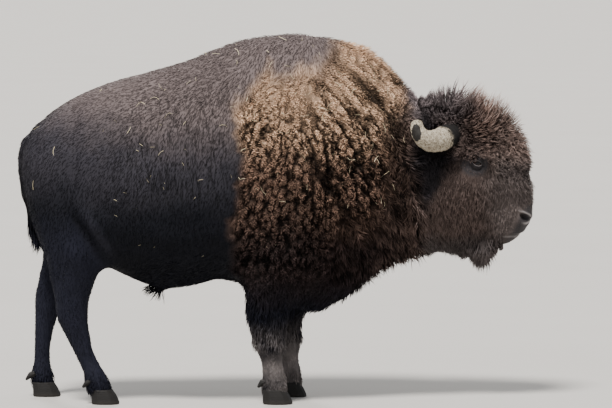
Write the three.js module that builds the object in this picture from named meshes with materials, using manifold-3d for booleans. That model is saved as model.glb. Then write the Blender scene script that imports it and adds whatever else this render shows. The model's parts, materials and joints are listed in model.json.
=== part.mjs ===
// A standing bull American bison, life size, in millimetres. +X is to its nose, +Y to its left and +Z up, and
// its soles are at z = 0.
// The body is one field of rounded masses. Shells drawn round it are cut by flat planes, so that neighbours
// meet face to face. Hair is part of the form, out to its tips.
import * as THREE from "three";
import { mergeVertices } from "three/addons/utils/BufferGeometryUtils.js";
import Module from "manifold-3d";

const wasm = await Module();
wasm.setup();

// ---------------------------------------------------------------- driving dimensions
const gap = 0.4; // between neighbouring parts
const fieldGap = 3; // between parts that two different meshes shape
const sliver = 0.02; // thinnest face left by a cut
const longestRay = 1100;
const coronet = 70; // height at which the leg ends and the hoof begins
const headYaw = THREE.MathUtils.degToRad(-3); // turned a little to its right
const neckPivot = new THREE.Vector3(640, 0, 1200);

// Top line, belly line, half width and widest level along the body, one row for each station.
const trunkStations = [
  // x, top, bottom, half width, widest level, squareness above, squareness below
  [-1222, 1180, 1060, 40, 1120, 2.0, 2.0],
  [-1200, 1262, 960, 118, 1110, 2.0, 2.0],
  [-1140, 1344, 840, 190, 1095, 2.0, 2.1],
  [-1050, 1412, 740, 245, 1080, 1.95, 2.2],
  [-926, 1486, 690, 285, 1050, 1.9, 2.2],
  [-758, 1550, 618, 330, 1010, 1.85, 2.2],
  [-562, 1604, 536, 368, 960, 1.8, 2.2],
  [-400, 1655, 545, 380, 950, 1.8, 2.2],
  [-269, 1714, 575, 380, 960, 1.75, 2.1],
  [-120, 1760, 560, 382, 980, 1.7, 2.0],
  [60, 1779, 460, 385, 1000, 1.65, 1.8],
  [202, 1772, 405, 372, 1020, 1.65, 1.65],
  [346, 1742, 478, 338, 1040, 1.7, 1.6],
  [480, 1680, 592, 300, 1060, 1.75, 1.65],
  [600, 1560, 668, 262, 1070, 1.85, 1.8],
  [690, 1440, 690, 235, 1060, 1.9, 1.9],
  [800, 1340, 780, 200, 1060, 2.0, 2.0],
];

// Each limb is a chain of joints: [x, y, z, radius fore and aft], thinner across by the leg's own share.
// Its foot is the middle of its claws, and its reach is how far back and forward the leg's part goes.
const legs = {
  fore_right: {
    across: 0.8,
    joints: [
      [40, -215, 980, 190],
      [-10, -205, 760, 165],
      [-30, -190, 560, 132],
      [-34, -178, 440, 120],
      [-28, -172, 345, 104],
      [-22, -168, 290, 78],
      [-14, -164, 225, 59],
      [-8, -160, 150, 60],
      [0, -158, 92, 68],
      [6, -156, 55, 66],
    ],
    foot: [16, -156],
    reach: [-235, 118],
  },
  fore_left: {
    across: 0.8,
    joints: [
      [60, 215, 980, 190],
      [50, 205, 760, 165],
      [48, 190, 560, 130],
      [50, 178, 420, 114],
      [54, 172, 330, 96],
      [58, 168, 275, 76],
      [62, 164, 215, 60],
      [64, 160, 145, 60],
      [68, 158, 92, 66],
      [74, 156, 55, 64],
    ],
    foot: [82, 156],
    reach: [-205, 190],
  },
  hind_right: {
    across: 0.78,
    joints: [
      [-1000, -125, 1120, 190],
      [-975, -175, 900, 178],
      [-952, -190, 760, 150],
      [-964, -182, 640, 117],
      [-970, -172, 520, 96],
      [-966, -165, 430, 85],
      [-940, -162, 335, 66],
      [-904, -160, 235, 52],
      [-866, -160, 150, 54],
      [-836, -160, 92, 64],
      [-824, -160, 55, 62],
    ],
    foot: [-806, -160],
    reach: [-1300, -772],
  },
  hind_left: {
    across: 0.78,
    joints: [
      [-1000, 125, 1120, 190],
      [-985, 175, 900, 175],
      [-985, 190, 760, 140],
      [-1036, 182, 630, 106],
      [-1078, 172, 530, 87],
      [-1100, 165, 455, 76],
      [-1120, 162, 350, 57],
      [-1130, 160, 250, 51],
      [-1134, 160, 150, 51],
      [-1130, 160, 92, 60],
      [-1122, 160, 55, 60],
    ],
    foot: [-1108, 160],
    reach: [-1300, -772],
  },
};

const eye = { at: [962, 136, 1150], radius: 21 };

// Middle line of the left horn from inside the skull to its blunt worn tip, and its radius along the way.
const horn = {
  line: [
    [842, 96, 1288],
    [812, 158, 1272],
    [766, 224, 1258],
    [716, 270, 1272],
    [686, 280, 1314],
    [682, 264, 1356],
  ],
  radii: [60, 58, 53, 44, 34, 25],
};

const tailLine = [
  [-1160, 0, 1284],
  [-1202, 0, 1256],
  [-1220, 0, 1170],
  [-1218, 0, 1060],
  [-1196, 0, 950],
  [-1166, 0, 850],
  [-1136, 0, 750],
];
const tailRadii = [20, 26, 24, 22, 24, 34, 14];
const sheathLine = [
  [-540, 0, 600],
  [-552, 0, 545],
  [-564, 0, 500],
];
const sheathRadii = [56, 46, 24];
const tuftFrom = 0.62; // share of the tail's length where its tuft begins

const colours = {
  rump: 0x2b2522,
  barrel: 0x362c26,
  cape: 0x7a5230,
  neck: 0x5e3d26,
  face: 0x2a1f1b,
  dark: 0x14110f,
  muzzle: 0x1b1817,
  horn: 0xa89f8d,
  hoof: 0x2a2623,
  eye: 0x0a0706,
};

// ---------------------------------------------------------------- fields
// A field is negative inside a mass and roughly the distance to its surface outside.
const smooth = (a, b, blend) => {
  const near = Math.max(blend - Math.abs(a - b), 0) / blend;
  return Math.min(a, b) - (near * near * blend) / 4;
};

// A tapering rounded bar between two points; across is its share of thickness from side to side.
function bar(p, a, b, radiusA, radiusB, across = 1) {
  const spanX = b[0] - a[0];
  const spanY = (b[1] - a[1]) / across;
  const spanZ = b[2] - a[2];
  const fromX = p[0] - a[0];
  const fromY = (p[1] - a[1]) / across;
  const fromZ = p[2] - a[2];
  const length2 = spanX * spanX + spanY * spanY + spanZ * spanZ;
  const share = THREE.MathUtils.clamp((fromX * spanX + fromY * spanY + fromZ * spanZ) / length2, 0, 1);
  const away = Math.hypot(fromX - share * spanX, fromY - share * spanY, fromZ - share * spanZ);
  return (away - THREE.MathUtils.lerp(radiusA, radiusB, share)) * Math.min(1, across + 0.1);
}

// A ball drawn out along its three axes.
function ball(p, centre, radii) {
  const unit = Math.hypot(
    (p[0] - centre[0]) / radii[0],
    (p[1] - centre[1]) / radii[1],
    (p[2] - centre[2]) / radii[2],
  );
  return (unit - 1) * Math.min(...radii);
}

// Value of one column of the stations at x, along a smooth curve through them.
function stationAt(x, column) {
  const last = trunkStations.length - 1;
  let i = 0;
  while (i < last - 1 && trunkStations[i + 1][0] < x) i += 1;
  const at = (k) => trunkStations[THREE.MathUtils.clamp(k, 0, last)];
  const slope = (k) => (at(k + 1)[column] - at(k - 1)[column]) / (at(k + 1)[0] - at(k - 1)[0]);
  const span = at(i + 1)[0] - at(i)[0];
  const t = THREE.MathUtils.clamp((x - at(i)[0]) / span, 0, 1);
  const rise = at(i + 1)[column] - at(i)[column];
  const eased = t * t * (3 - 2 * t);
  const lean = t * (1 - t) * span * (slope(i) * (1 - t) - slope(i + 1) * t);
  return at(i)[column] + eased * rise + lean;
}

function trunkField(p) {
  const [x, y, z] = p;
  const first = trunkStations[0][0];
  const end = trunkStations[trunkStations.length - 1][0];
  const inX = THREE.MathUtils.clamp(x, first, end);
  const [top, bottom, half, widest, above, below] = [1, 2, 3, 4, 5, 6].map((c) => stationAt(inX, c));
  const tall = z > widest ? top - widest : widest - bottom;
  const power = z > widest ? above : below;
  const unit = (Math.abs(y / half) ** power + Math.abs((z - widest) / tall) ** power) ** (1 / power);
  const around = (unit - 1) * Math.min(half, tall) * 0.9;
  return Math.max(around, Math.abs(x - inX) - 1);
}

function legField(p, leg, fromJoint, toJoint) {
  const { joints, across } = leg;
  let field = Infinity;
  for (let i = fromJoint; i < toJoint; i += 1) {
    const [a, b] = [joints[i], joints[i + 1]];
    field = smooth(field, bar(p, a, b, a[3], b[3], across), 22);
  }
  return field;
}

// The head is shaped square to the body and then turned by headYaw about the neck.
function inHead(p) {
  const turned = new THREE.Vector3(...p).sub(neckPivot).applyAxisAngle(new THREE.Vector3(0, 0, 1), -headYaw);
  return turned.add(neckPivot).toArray();
}

function headField(q) {
  const side = [q[0], Math.abs(q[1]), q[2]];
  const skull = bar(q, [780, 0, 1250], [905, 0, 1205], 185, 165, 0.86);
  const face = bar(q, [1030, 0, 1185], [1148, 0, 965], 175, 88, 0.74);
  const bridge = bar(q, [1124, 0, 1060], [1154, 0, 900], 110, 80, 0.95);
  const upperLip = bar(q, [1154, 0, 886], [1120, 0, 852], 78, 74, 1.18);
  const chin = bar(q, [1118, 0, 850], [1070, 0, 808], 70, 70, 0.98);
  const jaw = bar(q, [1080, 0, 842], [900, 0, 950], 82, 165, 0.82);
  const cheek = ball(side, [905, 70, 1010], [165, 108, 170]);
  const orbit = ball(side, [964, 84, 1156], [62, 48, 54]);
  const fringe = bar(q, [915, 0, 765], [800, 0, 815], 92, 104, 0.85);
  const throat = bar(q, [860, 0, 900], [720, 0, 960], 170, 220, 0.85);
  let field = smooth(skull, face, 70);
  field = smooth(field, bridge, 30);
  field = smooth(field, upperLip, 30);
  field = smooth(field, chin, 24);
  field = smooth(field, jaw, 50);
  field = smooth(field, cheek, 60);
  field = smooth(field, throat, 60);
  field = smooth(field, fringe, 50);
  return smooth(field, orbit, 26);
}

// The bonnet of long hair on the poll and forehead.
function crownField(q) {
  const top = ball(q, [868, 0, 1318], [205, 178, 200]);
  const front = ball(q, [1000, 0, 1286], [186, 156, 188]);
  const brow = ball(q, [1102, 0, 1160], [136, 114, 158]);
  return smooth(smooth(top, front, 60), brow, 40);
}

function beardField(q) {
  const root = bar(q, [1012, 0, 800], [1000, 0, 706], 70, 62, 0.8);
  const tip = bar(q, [1000, 0, 706], [990, 0, 652], 58, 34, 0.8);
  return smooth(root, tip, 30);
}

const legNames = Object.keys(legs);

const thighJoint = 2;
// The whole body, or the body with its legs down to the thigh joint only.
function bodyField(p, wholeLegs) {
  let field = smooth(trunkField(p), headField(inHead(p)), 60);
  for (const name of legNames) {
    const lowest = wholeLegs ? legs[name].joints.length - 1 : thighJoint;
    field = smooth(field, legField(p, legs[name], 0, lowest), name.startsWith("hind") ? 90 : 60);
  }
  return field;
}
const wholeBody = (p) => bodyField(p, true);
const upperBody = (p) => bodyField(p, false);

// ---------------------------------------------------------------- meshes from fields
// Where a ray from inside a mass comes out of it.
function reachOut(field, from, way) {
  const at = (far) => from.map((v, axis) => v + way[axis] * far);
  const stride = 12;
  let far = stride;
  while (far < longestRay && field(at(far)) < 0) far += stride;
  let near = far - stride;
  for (let halving = 0; halving < 12; halving += 1) {
    const middle = (near + far) / 2;
    if (field(at(middle)) < 0) near = middle;
    else far = middle;
  }
  return at(far);
}

// A closed shell round a line of origins. Each ring's rays leave its origin square to the line and stop at
// the field's surface. At a rounded end, further rings fan out until their rays run along the line. An end
// without a cap is flat.
function shellOf(field, { origins, forward = [1, 0, 0], degrees, startCap = 0, endCap = 0 }) {
  const ahead = new THREE.Vector3(...forward).normalize();
  const across = new THREE.Vector3(0, 1, 0);
  const up = ahead.clone().cross(across);
  const last = origins.length - 1;
  const rings = origins.map((origin) => ({ origin, lean: 0 }));
  const quarter = Math.PI / 2;
  for (let i = 1; i < startCap; i += 1) {
    rings.unshift({ origin: origins[0], lean: (-quarter * i) / startCap });
  }
  for (let i = 1; i < endCap; i += 1) rings.push({ origin: origins[last], lean: (quarter * i) / endCap });

  const positions = rings.flatMap(({ origin, lean }) =>
    degrees.flatMap((degree) => {
      const turn = THREE.MathUtils.degToRad(degree);
      const way = ahead.clone().multiplyScalar(Math.sin(lean));
      way.addScaledVector(across, Math.cos(lean) * Math.cos(turn));
      way.addScaledVector(up, Math.cos(lean) * Math.sin(turn));
      return reachOut(field, origin, way.toArray());
    }),
  );
  const start = positions.length / 3;
  const behind = ahead.clone().negate();
  positions.push(...(startCap ? reachOut(field, origins[0], behind.toArray()) : origins[0]));
  positions.push(...(endCap ? reachOut(field, origins[last], ahead.toArray()) : origins[last]));

  const faces = [];
  const around = degrees.length;
  for (let s = 0; s < around; s += 1) {
    const next = (s + 1) % around;
    faces.push(start, next, s);
    for (let r = 0; r < rings.length - 1; r += 1) {
      const [a, b, c, d] = [r * around + s, r * around + next, (r + 1) * around + next, (r + 1) * around + s];
      faces.push(a, b, c, a, c, d);
    }
    faces.push((rings.length - 1) * around + s, (rings.length - 1) * around + next, start + 1);
  }
  return closedMesh(positions, faces);
}

function closedMesh(positions, faces) {
  const geometry = new THREE.BufferGeometry();
  geometry.setAttribute("position", new THREE.Float32BufferAttribute(positions, 3));
  geometry.setIndex(faces);
  return geometry;
}

// Points evenly along a straight line, both ends among them.
const evenly = (from, to, count) =>
  Array.from({ length: count }, (_, i) => from.map((v, axis) => v + ((to[axis] - v) * i) / (count - 1)));
const fullTurn = (count) => Array.from({ length: count }, (_, i) => (360 * i) / count);

// A closed tube along a smooth line, with a radius at each given point and a rounded far end.
function taperedTube(line, radii, { sides = 10, steps = 10, extra = 0, flat = 1 } = {}) {
  const curve = new THREE.CatmullRomCurve3(line.map((p) => new THREE.Vector3(...p)));
  const radiusAlong = new THREE.CatmullRomCurve3(radii.map((r, i) => new THREE.Vector3(i, r, 0)));
  const { normals, binormals } = curve.computeFrenetFrames(steps, false);
  const positions = [];
  const faces = [];
  const endRounding = [1, 0.8, 0.45];
  const addRing = (centre, across, along, radius) => {
    for (let s = 0; s < sides; s += 1) {
      const turn = (2 * Math.PI * s) / sides;
      const point = centre
        .clone()
        .addScaledVector(across, Math.cos(turn) * radius)
        .addScaledVector(along, Math.sin(turn) * radius * flat);
      positions.push(...point.toArray());
    }
  };
  for (let i = 0; i <= steps; i += 1) {
    const radius = radiusAlong.getPoint(i / steps).y + extra;
    addRing(curve.getPoint(i / steps), normals[i], binormals[i], radius);
  }
  const endRadius = radii[radii.length - 1] + extra;
  const endWay = curve.getTangent(1);
  endRounding.slice(1).forEach((share) => {
    const out = curve.getPoint(1).addScaledVector(endWay, endRadius * 0.9 * Math.sqrt(1 - share * share));
    addRing(out, normals[steps], binormals[steps], endRadius * share);
  });
  const rings = positions.length / 3 / sides;
  const start = positions.length / 3;
  const startPoint = curve.getPoint(0).addScaledVector(curve.getTangent(0), -extra);
  positions.push(...startPoint.toArray());
  positions.push(...curve.getPoint(1).addScaledVector(endWay, endRadius * 0.9).toArray());
  for (let s = 0; s < sides; s += 1) {
    const next = (s + 1) % sides;
    faces.push(start, next, s);
    for (let r = 0; r < rings - 1; r += 1) {
      const [a, b, c, d] = [r * sides + s, r * sides + next, (r + 1) * sides + next, (r + 1) * sides + s];
      faces.push(a, b, c, a, c, d);
    }
    faces.push((rings - 1) * sides + s, (rings - 1) * sides + next, start + 1);
  }
  return closedMesh(positions, faces);
}

// ---------------------------------------------------------------- cutting and joining
function toSolid(geometry) {
  const bare = geometry.clone();
  bare.deleteAttribute("normal");
  bare.deleteAttribute("uv");
  const merged = mergeVertices(bare, 1e-3);
  return new wasm.Manifold(
    new wasm.Mesh({
      numProp: 3,
      vertProperties: new Float32Array(merged.attributes.position.array),
      triVerts: new Uint32Array(merged.index.array),
    }),
  );
}

function toGeometry(solid) {
  const { vertProperties, triVerts } = solid.simplify(sliver).getMesh();
  return closedMesh(Array.from(vertProperties), Array.from(triVerts));
}

// The largest body of a cut, without the slivers beside it.
function mainBody(solid) {
  const bodies = solid.decompose().sort((a, b) => b.volume() - a.volume());
  return bodies[0];
}

// A region with flat sides, larger or smaller all round by grow.
function regionBox(low, high, grow = 0) {
  const size = high.map((h, i) => h - low[i] + 2 * grow);
  const centre = high.map((h, i) => (h + low[i]) / 2);
  return toSolid(new THREE.BoxGeometry(...size).translate(...centre));
}

const cutAhead = (solid, plane) => solid.trimByPlane(plane.normal, plane.offset + gap / 2);
const cutBehind = (solid, plane) => solid.trimByPlane(plane.normal.map((n) => -n), -plane.offset + gap / 2);

// The plane across the body through two points of its side view.
function planeThrough([lowX, lowZ], [highX, highZ]) {
  const length = Math.hypot(highX - lowX, highZ - lowZ);
  const normal = [(highZ - lowZ) / length, 0, -(highX - lowX) / length];
  return { normal, offset: normal[0] * lowX + normal[2] * lowZ };
}

const turnWithHead = (geometry) =>
  geometry
    .translate(...neckPivot.clone().negate().toArray())
    .rotateZ(headYaw)
    .translate(...neckPivot.toArray());
const mirrored = (line, side) => line.map(([x, y, z]) => [x, y * side, z]);

// ---------------------------------------------------------------- the parts
const bison = new THREE.Group();

function addPart(name, geometry, color, roughness = 0.9) {
  const material = new THREE.MeshStandardMaterial({ color, roughness, metalness: 0 });
  const mesh = new THREE.Mesh(geometry, material);
  mesh.name = name;
  bison.add(mesh);
  return mesh;
}

const sides = { right: -1, left: 1 };

// Where each leg is parted from the body, and where its knee or hock is.
const legRegions = {
  fore: {
    y: [62, 460],
    top: 620,
    joint: 262,
    rings: [700, 640, 598, 560, 515, 460, 405, 355, 315, 280, 246, 210, 172, 136, 104, 50],
  },
  hind: {
    y: [24, 460],
    top: 900,
    joint: 410,
    rings: [980, 925, 865, 800, 735, 680, 640, 590, 530, 480, 436, 390, 340, 285, 235, 190, 148, 106, 50],
  },
};

function legRegion(name, grow) {
  const [kind, side] = name.split("_");
  const { y, top } = legRegions[kind];
  const x = legs[name].reach;
  const ys = y.map((v) => v * sides[side]).sort((a, b) => a - b);
  return regionBox([x[0], ys[0], coronet - 1000], [x[1], ys[1], top], grow);
}

const neckCut = planeThrough([250, 400], [331, 1750]);
const headCut = planeThrough([742, 735], [664, 1456]);
const barrelCut = planeThrough([-250, 500], [-250, 1700]);
const rumpCut = planeThrough([-760, 600], [-760, 1550]);
const muzzleCut = planeThrough([980, 760], [1250, 1030]);

// Directions round the trunk, close together where its section turns quickly and along the breast.
const trunkQuarter = [-82, -72, -60, -44, -23, 0, 24, 44, 60, 72, 82];
const trunkDegrees = [-90, ...trunkQuarter, 90, ...trunkQuarter.map((degree) => 180 - degree).reverse()];

function trunkShell(grow) {
  const origins = evenly([-1060, 0, 0], [860, 0, 0], 24).map(([x]) => [x, 0, stationAt(x, 4)]);
  return toSolid(shellOf((p) => upperBody(p) - grow, { origins, degrees: trunkDegrees, startCap: 4 }));
}

function addTrunk(tailRoom) {
  const body = trunkShell(0);
  const withoutLegs = legNames.reduce((solid, name) => solid.subtract(legRegion(name, gap / 2)), body);
  const rump = mainBody(cutBehind(withoutLegs, rumpCut).subtract(tailRoom));
  const barrel = mainBody(cutBehind(cutAhead(withoutLegs, rumpCut), barrelCut));
  const shoulders = mainBody(cutBehind(cutAhead(withoutLegs, barrelCut), neckCut));
  const pouch = toSolid(taperedTube(sheathLine, sheathRadii, { sides: 8, steps: 3 }));
  const sheath = pouch.subtract(trunkShell(fieldGap));
  addPart("rump", toGeometry(rump), colours.rump);
  addPart("barrel", toGeometry(barrel), colours.barrel);
  addPart("shoulder_hump", toGeometry(shoulders), colours.cape);
  addPart("sheath", toGeometry(mainBody(sheath)), colours.dark);
  return cutBehind(cutAhead(body, neckCut), headCut);
}

function addLegs(tailRoom) {
  for (const name of legNames) {
    const [kind, side] = name.split("_");
    const { joint, rings } = legRegions[kind];
    const origins = rings.map((height) => pointOfLeg(legs[name].joints, height));
    const shell = toSolid(shellOf(wholeBody, { origins, forward: [0, 0, -1], degrees: fullTurn(12) }));
    const leg = mainBody(shell.intersect(legRegion(name, -gap / 2)).trimByPlane([0, 0, 1], coronet));
    const upper = mainBody(leg.trimByPlane([0, 0, 1], joint + gap / 2).subtract(tailRoom));
    const lower = mainBody(leg.trimByPlane([0, 0, -1], -joint + gap / 2));
    const dewclaws = addFoot(name, kind, side);
    addPart(`${kind}leg_${side}_upper`, toGeometry(upper), colours.dark);
    addPart(`${kind}leg_${side}_lower`, toGeometry(mainBody(lower.subtract(dewclaws))), colours.dark);
  }
}

// The point of a leg's middle line at a height.
function pointOfLeg(joints, height) {
  const below = THREE.MathUtils.clamp(joints.findIndex((joint) => joint[2] <= height), 1, joints.length - 1);
  const [a, b] = [joints[below - 1], joints[joints.at(-1)[2] > height ? joints.length - 1 : below]];
  const share = THREE.MathUtils.clamp((a[2] - height) / (a[2] - b[2]), 0, 1);
  return [a[0] + (b[0] - a[0]) * share, a[1] + (b[1] - a[1]) * share, height];
}

// One claw of a cloven hoof, its sole flat on the ground, its flat inner wall at y = 0 and its toe at +X.
function clawGeometry({ length, width }) {
  const outline = [
    [-0.5, 0.12],
    [-0.46, 0.62],
    [-0.25, 0.94],
    [0.0, 1.0],
    [0.26, 0.9],
    [0.43, 0.62],
    [0.5, 0.22],
    [0.46, 0.03],
    [0.0, 0.0],
    [-0.4, 0.0],
  ];
  const levels = [
    // height, share of length, share of width, set back
    [0, 1, 1, 0],
    [6, 1.02, 1.03, -1],
    [38, 0.92, 0.95, -8],
    [coronet - gap, 0.78, 0.84, -20],
  ];
  const positions = levels.flatMap(([height, long, wide, back]) =>
    outline.flatMap(([u, v]) => [u * length * long + back, v * width * wide, height]),
  );
  const around = outline.length;
  const faces = [];
  for (let i = 0; i < around; i += 1) {
    const next = (i + 1) % around;
    for (let level = 0; level < levels.length - 1; level += 1) {
      const [a, b] = [level * around + i, level * around + next];
      faces.push(a, a + around, b, b, a + around, b + around);
    }
  }
  const top = (levels.length - 1) * around;
  for (let i = 1; i < around - 1; i += 1) faces.push(0, i, i + 1, top, top + i + 1, top + i);
  return closedMesh(positions, faces);
}

function flipped(geometry) {
  const turned = geometry.clone().scale(1, -1, 1);
  const faces = Array.from(turned.index.array);
  for (let i = 0; i < faces.length; i += 3) [faces[i + 1], faces[i + 2]] = [faces[i + 2], faces[i + 1]];
  turned.setIndex(faces);
  return turned;
}

// Two claws and, behind the fetlock, two dewclaws. Returns the room that the dewclaws take in the leg.
function addFoot(name, kind, side) {
  const claw = kind === "fore" ? { length: 142, width: 60 } : { length: 132, width: 54 };
  const [footX, footY] = legs[name].foot;
  const cleft = 5; // half of the gap between the claws
  const legEnd = legs[name].joints.at(-2);
  const dewclawLine = [
    [legEnd[0] - 34, 0, 112],
    [legEnd[0] - 62, 0, 100],
    [legEnd[0] - 76, 0, 84],
  ];
  let room = null;
  for (const [where, sign] of Object.entries({ inner: -sides[side], outer: sides[side] })) {
    const shape = clawGeometry(claw);
    const placed = (sign > 0 ? shape : flipped(shape)).rotateZ(sign * 0.04);
    addPart(`hoof_${name}_${where}`, placed.translate(footX, footY + sign * cleft, 0), colours.hoof, 0.6);
    const line = dewclawLine.map(([x, , z]) => [x, footY + sign * 22, z]);
    const shell = { sides: 6, steps: 2 };
    const dewclaw = taperedTube(line, [17, 15, 8], shell);
    addPart(`dewclaw_${name}_${where}`, dewclaw, colours.hoof, 0.6);
    const hole = toSolid(taperedTube(line, [17, 15, 8], { ...shell, extra: gap }));
    room = room ? room.add(hole) : hole;
  }
  return room;
}

function addTail() {
  const whole = new THREE.CatmullRomCurve3(tailLine.map((p) => new THREE.Vector3(...p)));
  const parting = whole.getPoint(tuftFrom);
  const flow = whole.getTangent(tuftFrom).toArray();
  const offset = parting.dot(whole.getTangent(tuftFrom));
  const shape = { sides: 8, steps: 12 };
  const tail = toSolid(taperedTube(tailLine, tailRadii, shape));
  const dock = tail.trimByPlane(flow.map((v) => -v), -offset + gap / 2);
  addPart("tail", toGeometry(mainBody(dock)), colours.rump);
  addPart("tail_tuft", toGeometry(mainBody(tail.trimByPlane(flow, offset + gap / 2))), colours.dark);
  return toSolid(taperedTube(tailLine, tailRadii, { ...shape, extra: gap }));
}

// The ear is a leaf rolled a little, standing out from behind the horn.
const earLine = [
  [742, 150, 1165],
  [704, 212, 1158],
  [664, 262, 1142],
  [632, 292, 1118],
];
const earRadii = [26, 38, 33, 12];

function headShell(grow) {
  const line = { from: [534, 0, 1296], to: [1075, 0, 935] };
  return toSolid(
    shellOf((p) => upperBody(p) - grow, {
      origins: evenly(line.from, line.to, 15),
      forward: line.to.map((v, axis) => v - line.from[axis]),
      degrees: fullTurn(20),
      endCap: 5,
    }),
  );
}

function addHead(neck) {
  const room = [];
  for (const [side, sign] of Object.entries(sides)) {
    const line = mirrored(horn.line, sign);
    addPart(`horn_${side}`, turnWithHead(taperedTube(line, horn.radii)), colours.horn, 0.7);
    room.push(toSolid(turnWithHead(taperedTube(line, horn.radii, { extra: gap }))));
    const leaf = mirrored(earLine, sign);
    const flat = { sides: 8, steps: 6, flat: 0.5 };
    addPart(`ear_${side}`, turnWithHead(taperedTube(leaf, earRadii, flat)), colours.dark);
    room.push(toSolid(turnWithHead(taperedTube(leaf, earRadii, { ...flat, extra: gap }))));
    const centre = [eye.at[0], eye.at[1] * sign, eye.at[2]];
    const globe = (radius) => turnWithHead(new THREE.SphereGeometry(radius, 10, 7).translate(...centre));
    addPart(`eye_${side}`, globe(eye.radius), colours.eye, 0.15);
    room.push(toSolid(globe(eye.radius + gap)));
  }
  const fittings = room.reduce((all, one) => all.add(one));
  const full = headShell(fieldGap);
  const head = cutAhead(headShell(0), headCut).subtract(fittings);
  addPart("head", toGeometry(mainBody(cutBehind(head, muzzleCut))), colours.face);
  addPart("muzzle", toGeometry(mainBody(cutAhead(head, muzzleCut))), colours.muzzle, 0.6);
  const crown = toSolid(
    shellOf((p) => crownField(inHead(p)), {
      origins: evenly([840, 0, 1325], [1085, 0, 1200], 5),
      forward: [245, 0, -125],
      degrees: fullTurn(16),
      startCap: 3,
      endCap: 4,
    }),
  );
  const bonnet = crown.subtract(full).subtract(trunkShell(fieldGap)).subtract(fittings);
  addPart("crown", toGeometry(mainBody(bonnet)), colours.dark);
  const beard = toSolid(
    shellOf((p) => beardField(inHead(p)), {
      origins: evenly([1012, 0, 790], [996, 0, 690], 4),
      forward: [-16, 0, -100],
      degrees: fullTurn(10),
      startCap: 3,
      endCap: 3,
    }),
  );
  addPart("beard", toGeometry(mainBody(beard.subtract(full))), colours.dark);
  addPart("neck", toGeometry(mainBody(neck.subtract(fittings))), colours.neck);
}

const tailRoom = addTail();
addLegs(tailRoom);
addHead(addTrunk(tailRoom));

// The origin is on the ground under the middle of the whole.
const extent = new THREE.Box3().setFromObject(bison);
const middle = extent.getCenter(new THREE.Vector3());
for (const mesh of bison.children) mesh.geometry.translate(-middle.x, -middle.y, 0);

export default bison;
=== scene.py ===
import json
import math

import bpy
import numpy as np
from mathutils import Euler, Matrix, Vector, kdtree, noise
from mathutils.bvhtree import BVHTree

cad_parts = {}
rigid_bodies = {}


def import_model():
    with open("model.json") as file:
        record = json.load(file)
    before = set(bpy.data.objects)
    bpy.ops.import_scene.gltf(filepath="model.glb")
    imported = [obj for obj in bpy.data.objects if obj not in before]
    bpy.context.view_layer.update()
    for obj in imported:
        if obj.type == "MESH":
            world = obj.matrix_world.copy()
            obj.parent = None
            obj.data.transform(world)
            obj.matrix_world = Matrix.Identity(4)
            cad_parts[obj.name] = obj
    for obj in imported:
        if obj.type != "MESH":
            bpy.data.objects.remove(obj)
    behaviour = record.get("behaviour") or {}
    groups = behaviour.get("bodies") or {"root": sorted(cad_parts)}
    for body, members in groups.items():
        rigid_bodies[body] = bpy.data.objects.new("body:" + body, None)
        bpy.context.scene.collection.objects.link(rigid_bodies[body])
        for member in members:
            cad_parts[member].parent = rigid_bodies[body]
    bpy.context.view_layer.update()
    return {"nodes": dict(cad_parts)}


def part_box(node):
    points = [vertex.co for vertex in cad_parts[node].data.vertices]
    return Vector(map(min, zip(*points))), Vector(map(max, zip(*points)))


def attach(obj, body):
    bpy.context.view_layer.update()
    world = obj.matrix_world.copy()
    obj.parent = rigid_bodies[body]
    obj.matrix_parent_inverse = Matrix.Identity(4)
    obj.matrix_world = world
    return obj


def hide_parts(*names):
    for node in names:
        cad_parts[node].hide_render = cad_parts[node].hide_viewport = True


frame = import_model()
noise.seed_set(5)  # without it noise_vector starts from the clock, and no two runs are alike
nodes = frame["nodes"]
sides = {"right": -1, "left": 1}

# Camera, floor and light.
camera = {"from": (0.152, -18.0, 2.15), "to": (0.152, 0.0, 0.945), "lens": 221, "far": 2000}
floor = {"across": 900, "light": (0.46, 0.446, 0.423), "dark": (0.405, 0.386, 0.363)}
lights = {
    "sky": {"strength": 0.68, "colour": (0.93, 0.96, 1.0)},
    "sun": {"energy": 6.9, "angle": 14, "turn": (27, -12, 0), "colour": (1.0, 0.97, 0.93)},
    "rim": {"energy": 1.6, "angle": 12, "turn": (-52, -18, 0), "colour": (1.0, 0.97, 0.93)},
}


def setStage():
    bpy.ops.object.select_all(action="DESELECT")
    bpy.ops.object.camera_add(location=camera["from"])
    seen = bpy.context.object
    way = Vector(camera["to"]) - Vector(camera["from"])
    seen.rotation_euler = way.to_track_quat("-Z", "Y").to_euler()
    seen.data.lens = camera["lens"]
    seen.data.clip_end = camera["far"]
    bpy.context.scene.camera = seen
    bpy.ops.mesh.primitive_plane_add(size=floor["across"], location=(0, 0, 0))
    ground = bpy.context.object
    ground.name = "floor"
    for name in ("sun", "rim"):
        look = lights[name]
        bpy.ops.object.light_add(type="SUN", rotation=[math.radians(a) for a in look["turn"]])
        lamp = bpy.context.object
        lamp.name = name
        lamp.data.energy = look["energy"]
        lamp.data.angle = math.radians(look["angle"])
        lamp.data.color = look["colour"]
    world = bpy.data.worlds.new("sky")
    bpy.context.scene.world = world
    world.use_nodes = True
    sky = world.node_tree.nodes["Background"]
    sky.inputs["Color"].default_value = rgba(lights["sky"]["colour"])
    sky.inputs["Strength"].default_value = lights["sky"]["strength"]
    return ground


def coverFloor(ground):
    material, place = startMaterial("floor", Specular_IOR_Level=0.2)
    broad = place.noise(0.8, 4)
    colour = (broad * 0.7 + place.noise(18, 4) * 0.3).blend(floor["dark"], floor["light"])
    ground.data.materials.append(finishMaterial(material, colour, 0.8 + broad * 0.1))


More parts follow.
